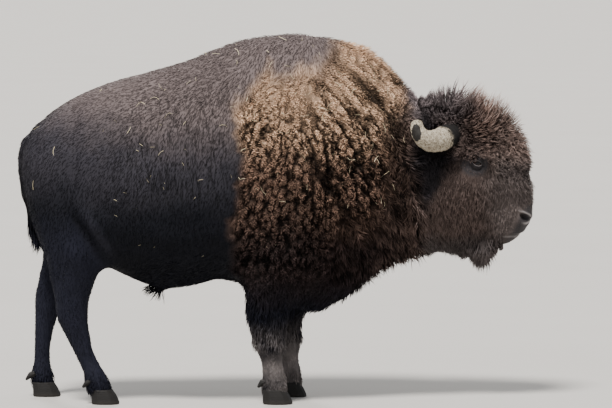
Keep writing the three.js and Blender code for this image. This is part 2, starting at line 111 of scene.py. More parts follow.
class Value:
    # A shader socket. Arithmetic on it adds Math nodes, and node() adds any other node.
    def __init__(self, socket):
        self.socket = socket

    def node(self, kind, settings=None, inputs=None, output=0):
        tree = self.socket.id_data
        made = tree.nodes.new("ShaderNode" + kind)
        for name, setting in (settings or {}).items():
            if name == "stops":
                ramp = made.color_ramp.elements
                while len(ramp) < len(setting):
                    ramp.new(1)
                for element, (place, colour) in zip(ramp, setting):
                    element.position = place
                    element.color = (*colour, 1)
            else:
                setattr(made, name, setting)
        for name, given in (inputs or {}).items():
            if isinstance(given, Value):
                tree.links.new(given.socket, made.inputs[name])
            elif given is not None:
                made.inputs[name].default_value = given
        return Value(made.outputs[output])

    def math(self, operation, first, second=0.0):
        return self.node("Math", {"operation": operation}, {0: first, 1: second})

    def __add__(self, other):
        return self.math("ADD", self, other)

    def __sub__(self, other):
        return self.math("SUBTRACT", self, other)

    def __rsub__(self, other):
        return self.math("SUBTRACT", other, self)

    def __mul__(self, other):
        return self.math("MULTIPLY", self, other)

    def __truediv__(self, other):
        return self.math("DIVIDE", self, other)

    def __abs__(self):
        return self.math("ABSOLUTE", self)

    __radd__ = __add__
    __rmul__ = __mul__

    def atLeast(self, other):
        return self.math("MAXIMUM", self, other)

    def axes(self):
        split = self.node("SeparateXYZ", {}, {"Vector": self}).socket.node
        return [Value(split.outputs[axis]) for axis in "XYZ"]

    def mark(self, name):
        # A number that the mesh carries at each of its points.
        return self.node("Attribute", {"attribute_name": name}, {}, "Fac")

    def noise(self, scale, detail=3.0, rough=0.55, stretch=(1, 1, 1)):
        place = self.node("Mapping", {}, {"Vector": self, "Scale": stretch})
        inputs = {"Vector": place, "Scale": scale, "Detail": detail, "Roughness": rough}
        return self.node("TexNoise", {}, inputs, "Fac")

    def blend(self, low, high):
        # The colour low where this is 0, and high where it is 1.
        colours = {"A": rgba(low), "B": rgba(high)}
        mix = self.node("Mix", {"data_type": "RGBA"}, {"Factor": self}, "Result")
        made = mix.socket.node
        for socket in made.inputs:
            if socket.type == "RGBA" and socket.name in colours:
                given = colours[socket.name]
                if isinstance(given, Value):
                    self.socket.id_data.links.new(given.socket, socket)
                else:
                    socket.default_value = given
        return Value(next(o for o in made.outputs if o.type == "RGBA"))


def rgba(colour):
    return colour if isinstance(colour, Value) else (*colour, 1)


def step(value, low, high):
    # 0 up to low and 1 from high on, for shader values and for arrays alike.
    if isinstance(value, Value):
        inputs = {"Value": value, "From Min": low, "From Max": high}
        return value.node("MapRange", {"interpolation_type": "SMOOTHSTEP"}, inputs)
    share = np.clip((value - low) / (high - low), 0, 1)
    return share * share * (3 - 2 * share)


def startMaterial(name, **constants):
    material = bpy.data.materials.new(name)
    material.use_nodes = True
    shader = material.node_tree.nodes["Principled BSDF"]
    for socket, value in constants.items():
        shader.inputs[socket.replace("_", " ")].default_value = value
    place = material.node_tree.nodes.new("ShaderNodeTexCoord")
    return material, Value(place.outputs["Object"])


def finishMaterial(material, colour=None, rough=None, height=None, strength=0.3, distance=0.01):
    shader = material.node_tree.nodes["Principled BSDF"]
    links = material.node_tree.links
    if colour:
        links.new(colour.socket, shader.inputs["Base Color"])
    if rough:
        links.new(rough.socket, shader.inputs["Roughness"])
    if height:
        bump = height.node("Bump", {}, {"Height": height, "Strength": strength, "Distance": distance})
        links.new(bump.socket, shader.inputs["Normal"])
    return material


def over(value, least):
    # How much value is over least, and 0 where it isn't, for shader values and for arrays alike.
    return (value - least).atLeast(0) if isinstance(value, Value) else np.maximum(value - least, 0)


def sine(value):
    return value.math("SINE", value) if isinstance(value, Value) else np.sin(value)


# Where the wool of the shoulder ends: the same line serves the skin, the coat and their colours.
def saddleLine(x):
    # Height of the smooth back's lower edge over the wool of the shoulder.
    ahead = over(x, 0.16)
    return 1.555 + 8 * ahead * ahead - over(-1 * x, 0.04)


def woolAt(x, z, soft=0.03):
    # 1 in the wool and 0 outside it, over a wavy edge.
    edge = x + 0.022 * sine(9 * z + 0.6) + 0.012 * sine(31 * z) + 0.006 * sine(77 * z + 2)
    top = z - saddleLine(x) + 0.012 * sine(34 * x) + 0.007 * sine(90 * x + 1)
    return step(edge, -0.205, -0.135) * (1 - step(top / (1 + 12 * over(x, 0.16)), -soft, soft))


skin = {
    "flesh": [
        "rump", "barrel", "shoulder_hump", "neck", "head", "muzzle", "sheath",
        "tail", "tail_tuft", "ear_right", "ear_left",
        *(f"{kind}leg_{side}_{part}"
          for kind in ("fore", "hind") for side in sides for part in ("upper", "lower")),
    ],
    "voxel": 0.0185,
    "smoothing": {"body": 16, "head": 6},
    # Below these heights the ankles are stretched down into the hooves and swelled.
    "ankle": (0.075, 0.16), "ankleDown": 0.030, "ankleOut": 0.007,
    # How near the eyes and the nose the mesh is made finer, in three rounds.
    "finer": [(0.13, 0.19), (0.085, 0.14), (0.05, 0.1)],
}
headPlace = {
    "yaw": math.radians(-3), "pivot": Vector((0.64, 0, 1.2)), "ahead": Vector((0.008, 0, 0)),
    "eyeOut": 0.136, "from": (0.72, 0.85),  # how far out the eyes are, and where the neck becomes the head
}


def foldSides(head):
    # Both sides of the head as one.
    return np.stack([head[:, 0], np.abs(head[:, 1]), head[:, 2]], 1)


def inHead(points):
    # Points in the head's own frame: its forward, sideways and up, from midway between the eyes.
    low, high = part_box("eye_right")
    farLow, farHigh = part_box("eye_left")
    middle = np.array((low + high + farLow + farHigh) / 4)
    turn = headPlace["yaw"]
    forward = np.array([math.cos(turn), math.sin(turn), 0])
    sideways = np.array([-math.sin(turn), math.cos(turn), 0])
    away = points - middle
    return np.stack([away @ forward, away @ sideways, away[:, 2]], 1)


def toEye(head, stretch=(1, 1, 1), lower=0.0):
    # How far a place of the head is from the eye on its side, or from a point so much lower.
    away = foldSides(head) - np.array([0.0, headPlace["eyeOut"], -lower])
    return np.linalg.norm(away * np.array(stretch), axis=1)


# The coat by place, in metres: how deep it is over the skin, and its tufts.
growthNames = ("depth", "spacing", "length", "height", "radius", "stray")
growth = {
    "flank": (0.008, 0.0103, 0.028, 0.0042, 0.0020, 0.15),
    "saddle": (0.014, 0.0098, 0.030, 0.009, 0.0021, 0.16),
    "belly": (0.014, 0.0100, 0.042, 0.009, 0.0022, 0.2),
    "wool": (0.013, 0.0070, 0.0085, 0.010, 0.0030, 0.65),
    "fine": (0.011, 0.0070, 0.010, 0.008, 0.0027, 0.55),
    "throat": (0.040, 0.0076, 0.062, 0.032, 0.0034, 0.2),
    "mane": (0.022, 0.0074, 0.042, 0.018, 0.0030, 0.24),
    "crest": (0.016, 0.0068, 0.030, 0.030, 0.0022, 0.4),
    "chaps": (0.030, 0.0104, 0.070, 0.020, 0.0036, 0.2),
    "leg": (0.006, 0.0090, 0.018, 0.0035, 0.0017, 0.15),
    "fetlock": (0.007, 0.0070, 0.034, 0.009, 0.0022, 0.2),
    "cheek": (0.020, 0.0063, 0.040, 0.018, 0.0021, 0.28),
    "front": (0.012, 0.0060, 0.032, 0.013, 0.0017, 0.25),
    "eye": (0.004, 0.0065, 0.010, 0.003, 0.0013, 0.15),
    "muzzle": (0.002, 0.0062, 0.007, 0.0016, 0.0010, 0.2),
    "tail": (0.006, 0.0080, 0.024, 0.004, 0.0018, 0.2),
    "tuft": (0.014, 0.0070, 0.120, 0.006, 0.0030, 0.12),
}


def throatAt(x, z):
    return (1 - step(z - 0.35 * (x - 0.3), 0.72, 0.95)) * step(x, 0.2, 0.35)


def maneAt(x, z):
    return step(x, 0.46, 0.58) * (1 - step(z, 1.28, 1.4))


def growthAt(points):
    x, y, z = points.T
    across = np.abs(y)
    head = inHead(points)
    onHead = step(x, 0.68, 0.78)
    nose = step(head[:, 0] - 0.55 * head[:, 2], 0.31, 0.37) * (1 - step(head[:, 2], -0.215, -0.15))
    wool = woolAt(x, z)
    fore = step(x, -0.35, -0.25)
    leg = (1 - step(z, 0.5, 0.62)) * (1 - step(x, 0.38, 0.46)) * fore
    shares = [
        ("belly", 1 - step(z - 0.1 * np.abs(x + 0.3), 0.55, 0.72)),
        ("saddle", step(z, 1.25, 1.5) * step(x, -0.75, -0.3)),
        ("wool", wool),
        ("fine", wool * step(z - 0.25 * np.abs(x - 0.35), 1.22, 1.45)),
        ("mane", wool * maneAt(x, z)),
        ("throat", wool * throatAt(x, z)),
        ("crest", wool * step(x, 0.28, 0.4) * (1 - step(across, 0.02, 0.07)) * step(z, 1.3, 1.4)),
        ("leg", step(-x, 0.55, 0.75) * (1 - step(z, 0.55, 0.9))),
        ("chaps", leg),
        ("leg", leg * (1 - step(z, 0.24, 0.34))),
        ("fetlock", 1 - step(z, 0.11, 0.17)),
        ("tail", step(-x, 1.17, 1.2) * (1 - step(across, 0.035, 0.055))),
        ("tuft", step(-x, 1.1, 1.13) * (1 - step(z, 0.93, 1.0)) * (1 - step(across, 0.05, 0.07))),
        ("cheek", onHead),
        ("front", onHead * step(head[:, 0] - 0.25 * head[:, 2], 0.06, 0.16)),
        ("eye", onHead * (1 - step(toEye(head, (1, 0.6, 1)), 0.055, 0.092))),
        ("muzzle", onHead * nose),
    ]
    found = [np.full(len(points), value) for value in growth["flank"]]
    for region, share in shares:
        found = [now + (value - now) * share for now, value in zip(found, growth[region])]
    return dict(zip(growthNames, found))


def select(*pieces):
    bpy.ops.object.select_all(action="DESELECT")
    for piece in pieces:
        piece.select_set(True)
    bpy.context.view_layer.objects.active = pieces[0]


def edit(piece, operator, **settings):
    # Runs a mesh operator on all of the piece.
    select(piece)
    bpy.ops.object.mode_set(mode="EDIT")
    bpy.ops.mesh.select_all(action="SELECT")
    operator(**settings)
    bpy.ops.object.mode_set(mode="OBJECT")


def addPiece(name, mesh):
    piece = bpy.data.objects.new(name, mesh)
    bpy.context.scene.collection.objects.link(piece)
    return piece


def copyOf(names, made):
    # One object of the joined copies of CAD nodes, their loose triangles merged.
    copies = []
    for name in names:
        copy = nodes[name].copy()
        copy.data = nodes[name].data.copy()
        for key in [k for k in copy.keys() if k.startswith("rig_")]:
            del copy[key]
        copy.parent = None
        bpy.context.scene.collection.objects.link(copy)
        copy.hide_render = False
        copy.hide_viewport = False
        copies.append(copy)
    select(*copies)
    if len(copies) > 1:
        bpy.ops.object.join()
    piece = bpy.context.object
    piece.name = made
    piece.data.name = made
    piece.data.materials.clear()
    edit(piece, bpy.ops.mesh.remove_doubles, threshold=0.00001)
    return piece


def modify(piece, kind, **settings):
    select(piece)
    modifier = piece.modifiers.new(kind.lower(), kind)
    for name, value in settings.items():
        setattr(modifier, name, value)
    bpy.ops.object.modifier_apply(modifier=modifier.name)


def read(items, name, wide=1, kind=float):
    # One property of all items as an array, with wide numbers in a row.
    values = np.empty(len(items) * wide, dtype=kind)
    items.foreach_get(name, values)
    return values.reshape(-1, wide) if wide > 1 else values


def placesOf(piece):
    return read(piece.data.vertices, "co", 3)


def normalsOf(piece):
    return read(piece.data.vertices, "normal", 3)


def movePoints(piece, places):
    piece.data.vertices.foreach_set("co", places.astype(np.float32).ravel())
    piece.data.update()


def writeMark(piece, name, values):
    mark = piece.data.attributes.new(name, "FLOAT", "POINT")
    mark.data.foreach_set("value", np.asarray(values, dtype=np.float32).ravel())


def smooth(piece):
    piece.data.polygons.foreach_set("use_smooth", [True] * len(piece.data.polygons))


def weigh(piece, name, weights):
    # Adds a vertex group, for a modifier that acts on a part of the piece.
    group = piece.vertex_groups.new(name=name)
    for index in np.flatnonzero(weights > 0.001):
        group.add([int(index)], float(weights[index]), "REPLACE")


# Bones, muscles and folds that show through the short coat: place, reach, turn in degrees, height.
forms = {
    "haunch": ((-1.09, 1.1), (0.11, 0.26), 4, 0.014),
    "hipBone": ((-1.14, 1.24), (0.035, 0.06), 10, -0.009),
    "hipCrease": ((-0.945, 1.16), (0.028, 0.24), 3, -0.015),
    "hipFront": ((-0.87, 1.2), (0.05, 0.2), 3, 0.010),
    "flankFold": ((-0.885, 0.8), (0.026, 0.15), 31, -0.030),
    "foldEdge": ((-0.825, 0.83), (0.035, 0.16), 31, 0.018),
    "flankHollow": ((-0.68, 1.22), (0.12, 0.12), 0, -0.010),
    "thighFront": ((-0.95, 0.72), (0.04, 0.14), 24, 0.012),
    "thighBack": ((-1.1, 0.82), (0.04, 0.16), 8, 0.010),
    "stifle": ((-0.88, 0.6), (0.05, 0.06), 0, 0.008),
    "hamstring": ((-1.04, 0.55), (0.02, 0.13), -10, -0.010),
    "lastRibs": ((-0.44, 1.05), (0.07, 0.26), 14, 0.008),
    "elbow": ((0.0, 0.66), (0.07, 0.06), 0, 0.008),
}


def formsAt(points):
    raised = np.zeros(len(points))
    for (x, z), (wide, high), turn, height in forms.values():
        angle = math.radians(turn)
        dx, dz = points[:, 0] - x, points[:, 2] - z
        across = dx * math.cos(angle) + dz * math.sin(angle)
        upright = dz * math.cos(angle) - dx * math.sin(angle)
        raised += height * np.exp(-(across / wide) ** 2 - (upright / high) ** 2)
    return raised * step(np.abs(points[:, 1]), 0.05, 0.14)


def carriesClefts(points):
    # Where the skin has to be fine enough for the clefts of the wool.
    x, _, z = points.T
    return (woolAt(x, z) > 0.4) & (z > 0.5) & (x < 0.74)


def makeSkin():
    piece = copyOf(skin["flesh"], "skin")
    modify(piece, "REMESH", mode="VOXEL", voxel_size=skin["voxel"])
    onHead = step(placesOf(piece)[:, 0], *headPlace["from"])
    for name, weights in (("body", 1 - onHead), ("head", onHead)):
        weigh(piece, name, weights)
        modify(piece, "SMOOTH", factor=0.6, iterations=skin["smoothing"][name], vertex_group=name)
    places = placesOf(piece)
    depth = growthAt(places)["depth"] - formsAt(places)
    movePoints(piece, places - normalsOf(piece) * depth[:, None])
    modify(piece, "SMOOTH", factor=0.5, iterations=3)
    places = placesOf(piece)
    ankle = 1 - step(places[:, 2], *skin["ankle"])
    places[:, 2] -= skin["ankleDown"] * ankle
    movePoints(piece, places + normalsOf(piece) * (skin["ankleOut"] * ankle)[:, None])
    edit(piece, bpy.ops.uv.smart_project, angle_limit=math.radians(66), island_margin=0.004)
    piece.data.uv_layers.active.name = "OFBake"
    refine(piece, carriesClefts)
    shapeFace(piece)
    feltWool(piece)
    smooth(piece)
    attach(piece, "root")
    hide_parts(*skin["flesh"])
    print("skin", sum(len(face.vertices) - 2 for face in piece.data.polygons), "triangles")
    return piece


eye = {
    "at": (0.962, 0.133, 1.15), "radius": 0.0255, "looks": (0.26, 0.96, -0.02),
    "opening": (0.0245, 0.013, 0.0115),  # half its length, and its heights over and under the corners
    "tilt": -14, "cornea": 0.0012,
    # Height of each fold over the eye, how far its middle is bowed, over what length, how deep it is,
    # how thin, and where it ends: over the upper lid, and two under the lower.
    "folds": [(0.021, 0.006, 0.03, -0.0035, 0.0028, 0.032), (-0.0205, -0.004, 0.03, -0.0028, 0.0026, 0.03),
              (-0.031, -0.005, 0.036, -0.002, 0.003, 0.036)],
}
# Places on the right of the face in the head's own frame: forward, out from the middle and up.
nostril = {"at": (0.232, 0.058, -0.262), "long": 0.034, "wide": 0.0165, "deep": 0.032, "rim": 0.007}
mouth = {"line": [(0.252, 0.0, -0.345), (0.236, 0.03, -0.346), (0.196, 0.06, -0.352), (0.15, 0.07, -0.352),
                  (0.1, 0.078, -0.345)], "wide": 0.008, "deep": 0.007}


def turned(place, side):
    # A place on a straight head, on that side, turned and moved as the head is.
    away = Vector((place[0], place[1] * side, place[2])) - headPlace["pivot"]
    away.rotate(Euler((0, 0, headPlace["yaw"])))
    return away + headPlace["pivot"] + headPlace["ahead"]


def eyeFrame(sign):
    # The eye's middle, the way from its rear corner to its front one, up, and out.
    out = Vector((eye["looks"][0], eye["looks"][1] * sign, eye["looks"][2])).normalized()
    level = Vector((1, 0, math.tan(math.radians(eye["tilt"]))))
    ahead = (level - out * level.dot(out)).normalized()
    up = Vector((0, 0, 1))
    up = (up - out * up.dot(out) - ahead * up.dot(ahead)).normalized()
    turn = Euler((0, 0, headPlace["yaw"]))
    for way in (out, ahead, up):
        way.rotate(turn)
    return (np.array(turned(eye["at"], sign)), np.array(ahead), np.array(up), np.array(out))


def lidEdge(across, upper):
    # Height of the lid's edge over the line through the eye's corners.
    wide, over, under = eye["opening"]
    rise = np.maximum(1 - (across / wide) ** 2, 0) ** 0.75
    return rise * over if upper else -rise * under


def foldAt(across, high, at, bow, wide, deep, thin, end):
    over = high - at - bow * (1 - (across / wide) ** 2)
    return deep * np.exp(-(over / thin) ** 2) * (np.abs(across) < end)


def shapeEyes(places):
    # Lids drawn over the ball, an opening between them, folds round it and a heavy brow.
    for sign in sides.values():
        middle, ahead, up, out = eyeFrame(sign)
        away = places - middle
        across, high, forth = away @ ahead, away @ up, away @ out
        spread = np.sqrt(across ** 2 + high ** 2)
        near = (spread < 0.09) & (forth > -0.05)
        ball = eye["radius"] + 0.0035
        hug = np.sqrt(np.maximum(ball ** 2 - spread ** 2, 0.000025))
        surface = np.where(spread < ball * 0.97, hug, 0.004)
        share = (1 - step(spread, 0.021, 0.045)) * near
        shaped = forth + (surface - forth) * share
        upper, lower, second = (foldAt(across, high, *fold) for fold in eye["folds"])
        brow = 0.011 * np.exp(-((high - 0.036) / 0.014) ** 2 - (across / 0.045) ** 2)
        tear = -0.0035 * np.exp(-(((across - 0.028) / 0.012) ** 2 + ((high + 0.004) / 0.004) ** 2))
        shaped = shaped + (upper + (lower + second) + brow + tear) * near
        inside = (high < lidEdge(across, True)) & (high > lidEdge(across, False)) & near
        shaped = np.where(inside, 0.006, shaped)
        places += out[None] * (shaped - forth)[:, None]
    return places


def shapeMuzzle(places, normals):
    # Nostrils with a raised wing, the mouth's line, and the lip's fold over it.
    head = inHead(places)
    moved = np.zeros(len(places))
    for sign in sides.values():
        reach, bent = nostrilReach(head, sign)
        near = (reach < 3) & (head[:, 0] > 0.12)
        moved -= nostril["deep"] * (1 - step(reach, 0.35, 1.05)) * near
        moved += nostril["rim"] * np.exp(-((reach - 1.35) / 0.32) ** 2) * step(bent, -0.6, 0.5) * near
    gap, over = mouthGap(head)
    ahead = step(head[:, 0], 0.09, 0.13)
    moved -= mouth["deep"] * np.exp(-(gap / mouth["wide"]) ** 2) * ahead
    moved += 0.004 * np.exp(-((over - 0.016) / 0.01) ** 2) * ahead * (gap < 0.04)
    groove = np.exp(-(head[:, 1] / 0.004) ** 2) * step(head[:, 0], 0.2, 0.24)
    moved -= 0.004 * groove * (1 - step(head[:, 2], -0.25, -0.22))
    return places + normals * moved[:, None]


def mouthGap(head):
    # How far a place of the head is from the mouth's line, and how high over it.
    line = np.array(mouth["line"])
    folded = foldSides(head)
    gap = np.full(len(head), 1.0)
    over = np.zeros(len(head))
    for a, b in zip(line[:-1], line[1:]):
        way = b - a
        share = np.clip(((folded - a) @ way) / (way @ way), 0, 1)
        away = folded - (a + share[:, None] * way)
        far = np.abs(away[:, 2]) + 0.25 * np.sqrt(away[:, 0] ** 2 + away[:, 1] ** 2)
        over = np.where(far < gap, away[:, 2], over)
        gap = np.minimum(gap, far)
    return gap, over


def nostrilReach(head, sign):
    # How far a place of the head is from the nostril's middle, 1 at its edge, and how far over it.
    forth, out, high = (head - np.array(nostril["at"]) * np.array([1, sign, 1])).T
    out = out * sign
    lengthways = (forth * 0.72 - out * 0.6 - high * 0.35) / nostril["long"]
    crossways = (high * 0.93 + forth * 0.27 - out * 0.24 - 0.006 * lengthways ** 2) / nostril["wide"]
    inwards = (forth * 0.642 + out * 0.764) / 0.045
    return np.sqrt(lengthways ** 2 + crossways ** 2 + inwards ** 2), crossways


def markFace(piece):
    # Where the face is bare, and where it is wet, with a painted highlight there.
    places = placesOf(piece)
    head = inHead(places)
    onHead = step(places[:, 0], 0.8, 0.85)
    wet = np.zeros(len(places))
    for sign in sides.values():
        reach, over = nostrilReach(head, sign)
        front = step(head[:, 0], 0.215, 0.25)
        rim = np.exp(-((reach - 1.25) / 0.2) ** 2) * step(over, 0.2, 0.8) * (reach < 2)
        below = np.exp(-((reach - 1.75) / 0.35) ** 2) * step(-over, 0.4, 1.2) * front
        wet = np.maximum(wet, np.maximum(rim, below))
    gap, over = mouthGap(head)
    # The lip's line gets the same painted highlight.
    lip = np.exp(-((over + 0.004) / 0.005) ** 2) * (gap < 0.03) * step(head[:, 0], 0.1, 0.16)
    wet = np.maximum(wet * 0.8, 0.4 * lip)
    nose = step(head[:, 0] - 0.55 * head[:, 2], 0.34, 0.38) * (1 - step(head[:, 2], -0.22, -0.18))
    ring = 1 - step(toEye(head, (0.85, 0.6, 1.05), 0.006), 0.046, 0.074)
    bare = np.maximum(ring, nose) * onHead
    writeMark(piece, "bare", bare)
    writeMark(piece, "wet", wet * onHead)


def openFace(points):
    # 1 where hair may grow: not in the eyes' openings, the nostrils or the mouth.
    grows = np.ones(len(points))
    head = inHead(points)
    for sign in sides.values():
        middle, ahead, up, _ = eyeFrame(sign)
        away = points - middle
        near = np.sqrt((away @ ahead) ** 2 + ((away @ up) * 1.15) ** 2) < 0.043
        grows[near & (np.linalg.norm(away, axis=1) < 0.07)] = 0
        reach, _ = nostrilReach(head, sign)
        grows[(reach < 1.55) & (head[:, 0] > 0.15)] = 0
    return grows


def shapeFace(piece):
    for eyeReach, noseReach in skin["finer"]:
        refine(piece, lambda p: nearFace(p, eyeReach, noseReach))
    weigh(piece, "face", placesOf(piece)[:, 0] > 0.86)
    modify(piece, "SMOOTH", factor=0.5, iterations=4, vertex_group="face")
    movePoints(piece, shapeMuzzle(placesOf(piece), normalsOf(piece)))
    movePoints(piece, shapeEyes(placesOf(piece)))
    markFace(piece)


def nearFace(points, eyeReach, noseReach):
    head = inHead(points)
    toNose = np.linalg.norm(foldSides(head) - np.array([0.225, 0.03, -0.29]), axis=1)
    return (toEye(head) < eyeReach) | (toNose < noseReach)


def treeOf(*names):
    # A search tree over the merged triangles of CAD nodes.
    piece = copyOf(names, "measured")
    faces = [tuple(face.vertices) for face in piece.data.polygons]
    tree = BVHTree.FromPolygons([tuple(p) for p in placesOf(piece)], faces)
    bpy.data.objects.remove(piece)
    return tree


def treeOfPieces(*names):
    points, faces = [], []
    for name in names:
        piece = bpy.data.objects[name]
        corners = read(piece.data.loops, "vertex_index", 1, np.int32)
        faces += (corners.reshape(-1, 3) + len(points)).tolist()
        points += placesOf(piece).tolist()
    return BVHTree.FromPolygons(points, faces)


def distanceTo(tree, points, limit):
    found = (tree.find_nearest(Vector(p), limit)[3] for p in points)
    return np.array([limit if d is None else d for d in found])


def factsOf(piece):
    # The skin as arrays: corners, corner normals, areas and map places of its triangles.
    mesh = piece.data
    mesh.calc_loop_triangles()
    corners = read(mesh.loop_triangles, "vertices", 3, np.int32)
    loops = read(mesh.loop_triangles, "loops", 3, np.int32)
    at = placesOf(piece)[corners]
    area = np.linalg.norm(np.cross(at[:, 1] - at[:, 0], at[:, 2] - at[:, 0]), axis=1) / 2
    flat = read(mesh.uv_layers["OFBake"].data, "uv", 2)[loops]
    return {"at": at, "normals": normalsOf(piece)[corners], "area": area, "flat": flat,
            "middle": at.mean(axis=1)}


def unit(vectors):
    return vectors / np.maximum(np.linalg.norm(vectors, axis=1, keepdims=True), 1e-9)


cells = {"share": 0.92, "tries": 2.4, "mix": (73856093, 19349663, 83492791)}


def scatter(facts, share, spacing, seed):
    # Roots about spacing apart where share is over 0. Both may be arrays over the triangles.
    random = np.random.default_rng(seed)
    spacing = np.broadcast_to(spacing, facts["area"].shape)
    wanted = facts["area"] * share / spacing ** 2 * cells["tries"]
    total = int(wanted.sum())
    if total < 1:
        return None
    chosen = random.choice(len(wanted), total, p=wanted / wanted.sum())
    a, b = random.random((2, total))
    over = a + b > 1
    a[over], b[over] = 1 - a[over], 1 - b[over]
    weights = np.stack([1 - a - b, a, b], 1)[:, :, None]
    at = (facts["at"][chosen] * weights).sum(axis=1)
    cell = np.floor(at / spacing[chosen][:, None] / cells["share"]).astype(np.int64)
    key = np.bitwise_xor.reduce(cell * np.array(cells["mix"]), axis=1)
    kept = np.sort(np.unique(key, return_index=True)[1])
    chosen = chosen[kept]
    weights = weights[kept]
    return {
        "at": at[kept],
        "normal": unit((facts["normals"][chosen] * weights).sum(axis=1)),
        "flat": (facts["flat"][chosen] * weights).sum(axis=1),
    }


# Which way the hair lies: (x, out from the middle, z) of a place, and the way there.
lieGuides = [
    ((-1.2, 0.0, 1.2), (-0.3, 0, -1)), ((-1.1, 0.15, 1.1), (-0.5, 0.1, -0.85)),
    ((-0.9, 0.2, 1.3), (-0.85, 0.3, -0.5)), ((-0.9, 0.3, 0.95), (-0.4, 0, -0.9)),
    ((-0.7, 0.1, 1.45), (-0.95, 0.25, -0.25)), ((-0.45, 0.3, 1.15), (-0.22, 0, -0.97)),
    ((-0.3, 0.1, 1.6), (-0.85, 0.3, -0.3)), ((-0.25, 0.36, 1.2), (-0.4, 0, -0.92)),
    ((-0.3, 0.36, 0.9), (-0.4, 0, -0.92)), ((-0.45, 0.2, 0.62), (-0.85, -0.2, -0.4)),
    ((-0.5, 0.0, 0.52), (-1, 0, 0)), ((-0.78, 0.27, 0.72), (-0.3, 0, -0.95)),
    ((-0.95, 0.2, 0.5), (-0.1, 0, -1)), ((-0.95, 0.2, 0.2), (0, 0, -1)),
    ((0.05, 0.03, 1.77), (-0.6, 0.6, -0.4)), ((0.0, 0.2, 1.62), (-0.35, 0.25, -0.9)),
    ((-0.1, 0.33, 1.3), (-0.22, 0, -1)), ((0.0, 0.36, 1.0), (-0.12, 0, -1)),
    ((0.12, 0.3, 0.75), (-0.05, 0, -1)), ((0.3, 0.05, 1.7), (0.2, 0.7, -0.6)),
    ((0.4, 0.18, 1.5), (0.72, 0.2, -0.68)), ((0.42, 0.28, 1.25), (0.4, 0, -0.92)),
    ((0.5, 0.2, 0.9), (0.4, -0.1, -0.92)), ((0.6, 0.04, 0.75), (0.35, -0.2, -0.9)),
    ((0.62, 0.2, 1.1), (0.35, 0, -0.94)), ((0.24, 0.3, 1.45), (0.5, 0.1, -0.85)),
    ((0.2, 0.35, 1.1), (0.08, 0, -1)), ((0.1, 0.2, 0.5), (0, 0, -1)), ((0.05, 0.2, 0.2), (0, 0, -1)),
    ((0.2, 0.0, 0.6), (-0.7, 0, -0.7)), ((0.8, 0.05, 1.5), (0.5, 0.4, -0.2)),
    ((0.85, 0.2, 1.3), (0.15, 0.3, -0.95)), ((1.0, 0.0, 1.38), (0.85, 0.1, -0.5)),
    ((1.08, 0.0, 1.2), (0.4, 0.1, -0.9)), ((1.17, 0.0, 1.0), (0.22, 0.05, -0.97)),
    ((0.95, 0.18, 1.02), (-0.12, 0.1, -0.98)), ((0.95, 0.12, 0.9), (0.05, 0, -1)),
    ((1.05, 0.05, 0.8), (-0.15, 0, -1)), ((0.8, 0.05, 0.85), (0.15, 0, -1)),
    ((0.88, 0.18, 1.14), (-0.35, 0.1, -0.9)), ((0.77, 0.08, 1.42), (-0.8, 0.2, 0.1)),
]


def lieAt(points, normals):
    # The nearer guides count most, and the way is then turned to lie along the skin.
    side = np.where(points[:, 1] < 0, -1.0, 1.0)
    folded = points * np.array([1, 0, 1])
    folded[:, 1] = np.abs(points[:, 1])
    total = np.zeros_like(points)
    for place, way in lieGuides:
        away = ((folded - np.array(place)) ** 2).sum(axis=1) + 0.004
        total += np.array(way)[None] / away[:, None] ** 2
    total[:, 1] *= side * step(folded[:, 1], 0.0, 0.09)
    total = unit(total)
    return unit(total - normals * (total * normals).sum(axis=1, keepdims=True))


def clumpsAt(places, lie, centres, stretch):
    # For each place: its lock, the way across to the lock's middle, and how far inside the lock it is.
    sway = np.array([noise.noise_vector(Vector(p) * 14) for p in places]) * 0.011
    roots = places + sway
    tree = kdtree.KDTree(len(centres))
    for index, centre in enumerate(centres):
        tree.insert(Vector(centre), index)
    tree.balance()
    near = 9 if stretch < 4 else 28
    found = np.empty((len(roots), near), dtype=np.int32)
    for index, root in enumerate(roots):
        found[index] = [hit[1] for hit in tree.find_n(Vector(root), near)]
    offset = centres[found] - roots[:, None]
    along = (offset * lie[:, None]).sum(axis=2)
    across = np.sqrt(np.maximum((offset ** 2).sum(axis=2) - along ** 2, 0))
    far = np.sqrt((along / stretch) ** 2 + across ** 2)
    order = np.argsort(far, axis=1)
    rows = np.arange(len(roots))
    first, second = order[:, 0], order[:, 1]
    nearest, after = far[rows, first], far[rows, second]
    return {
        "lock": found[rows, first],
        "offset": offset[rows, first] - lie * along[rows, first][:, None],
        "edge": (after - nearest) / (after + nearest + 1e-9),
    }


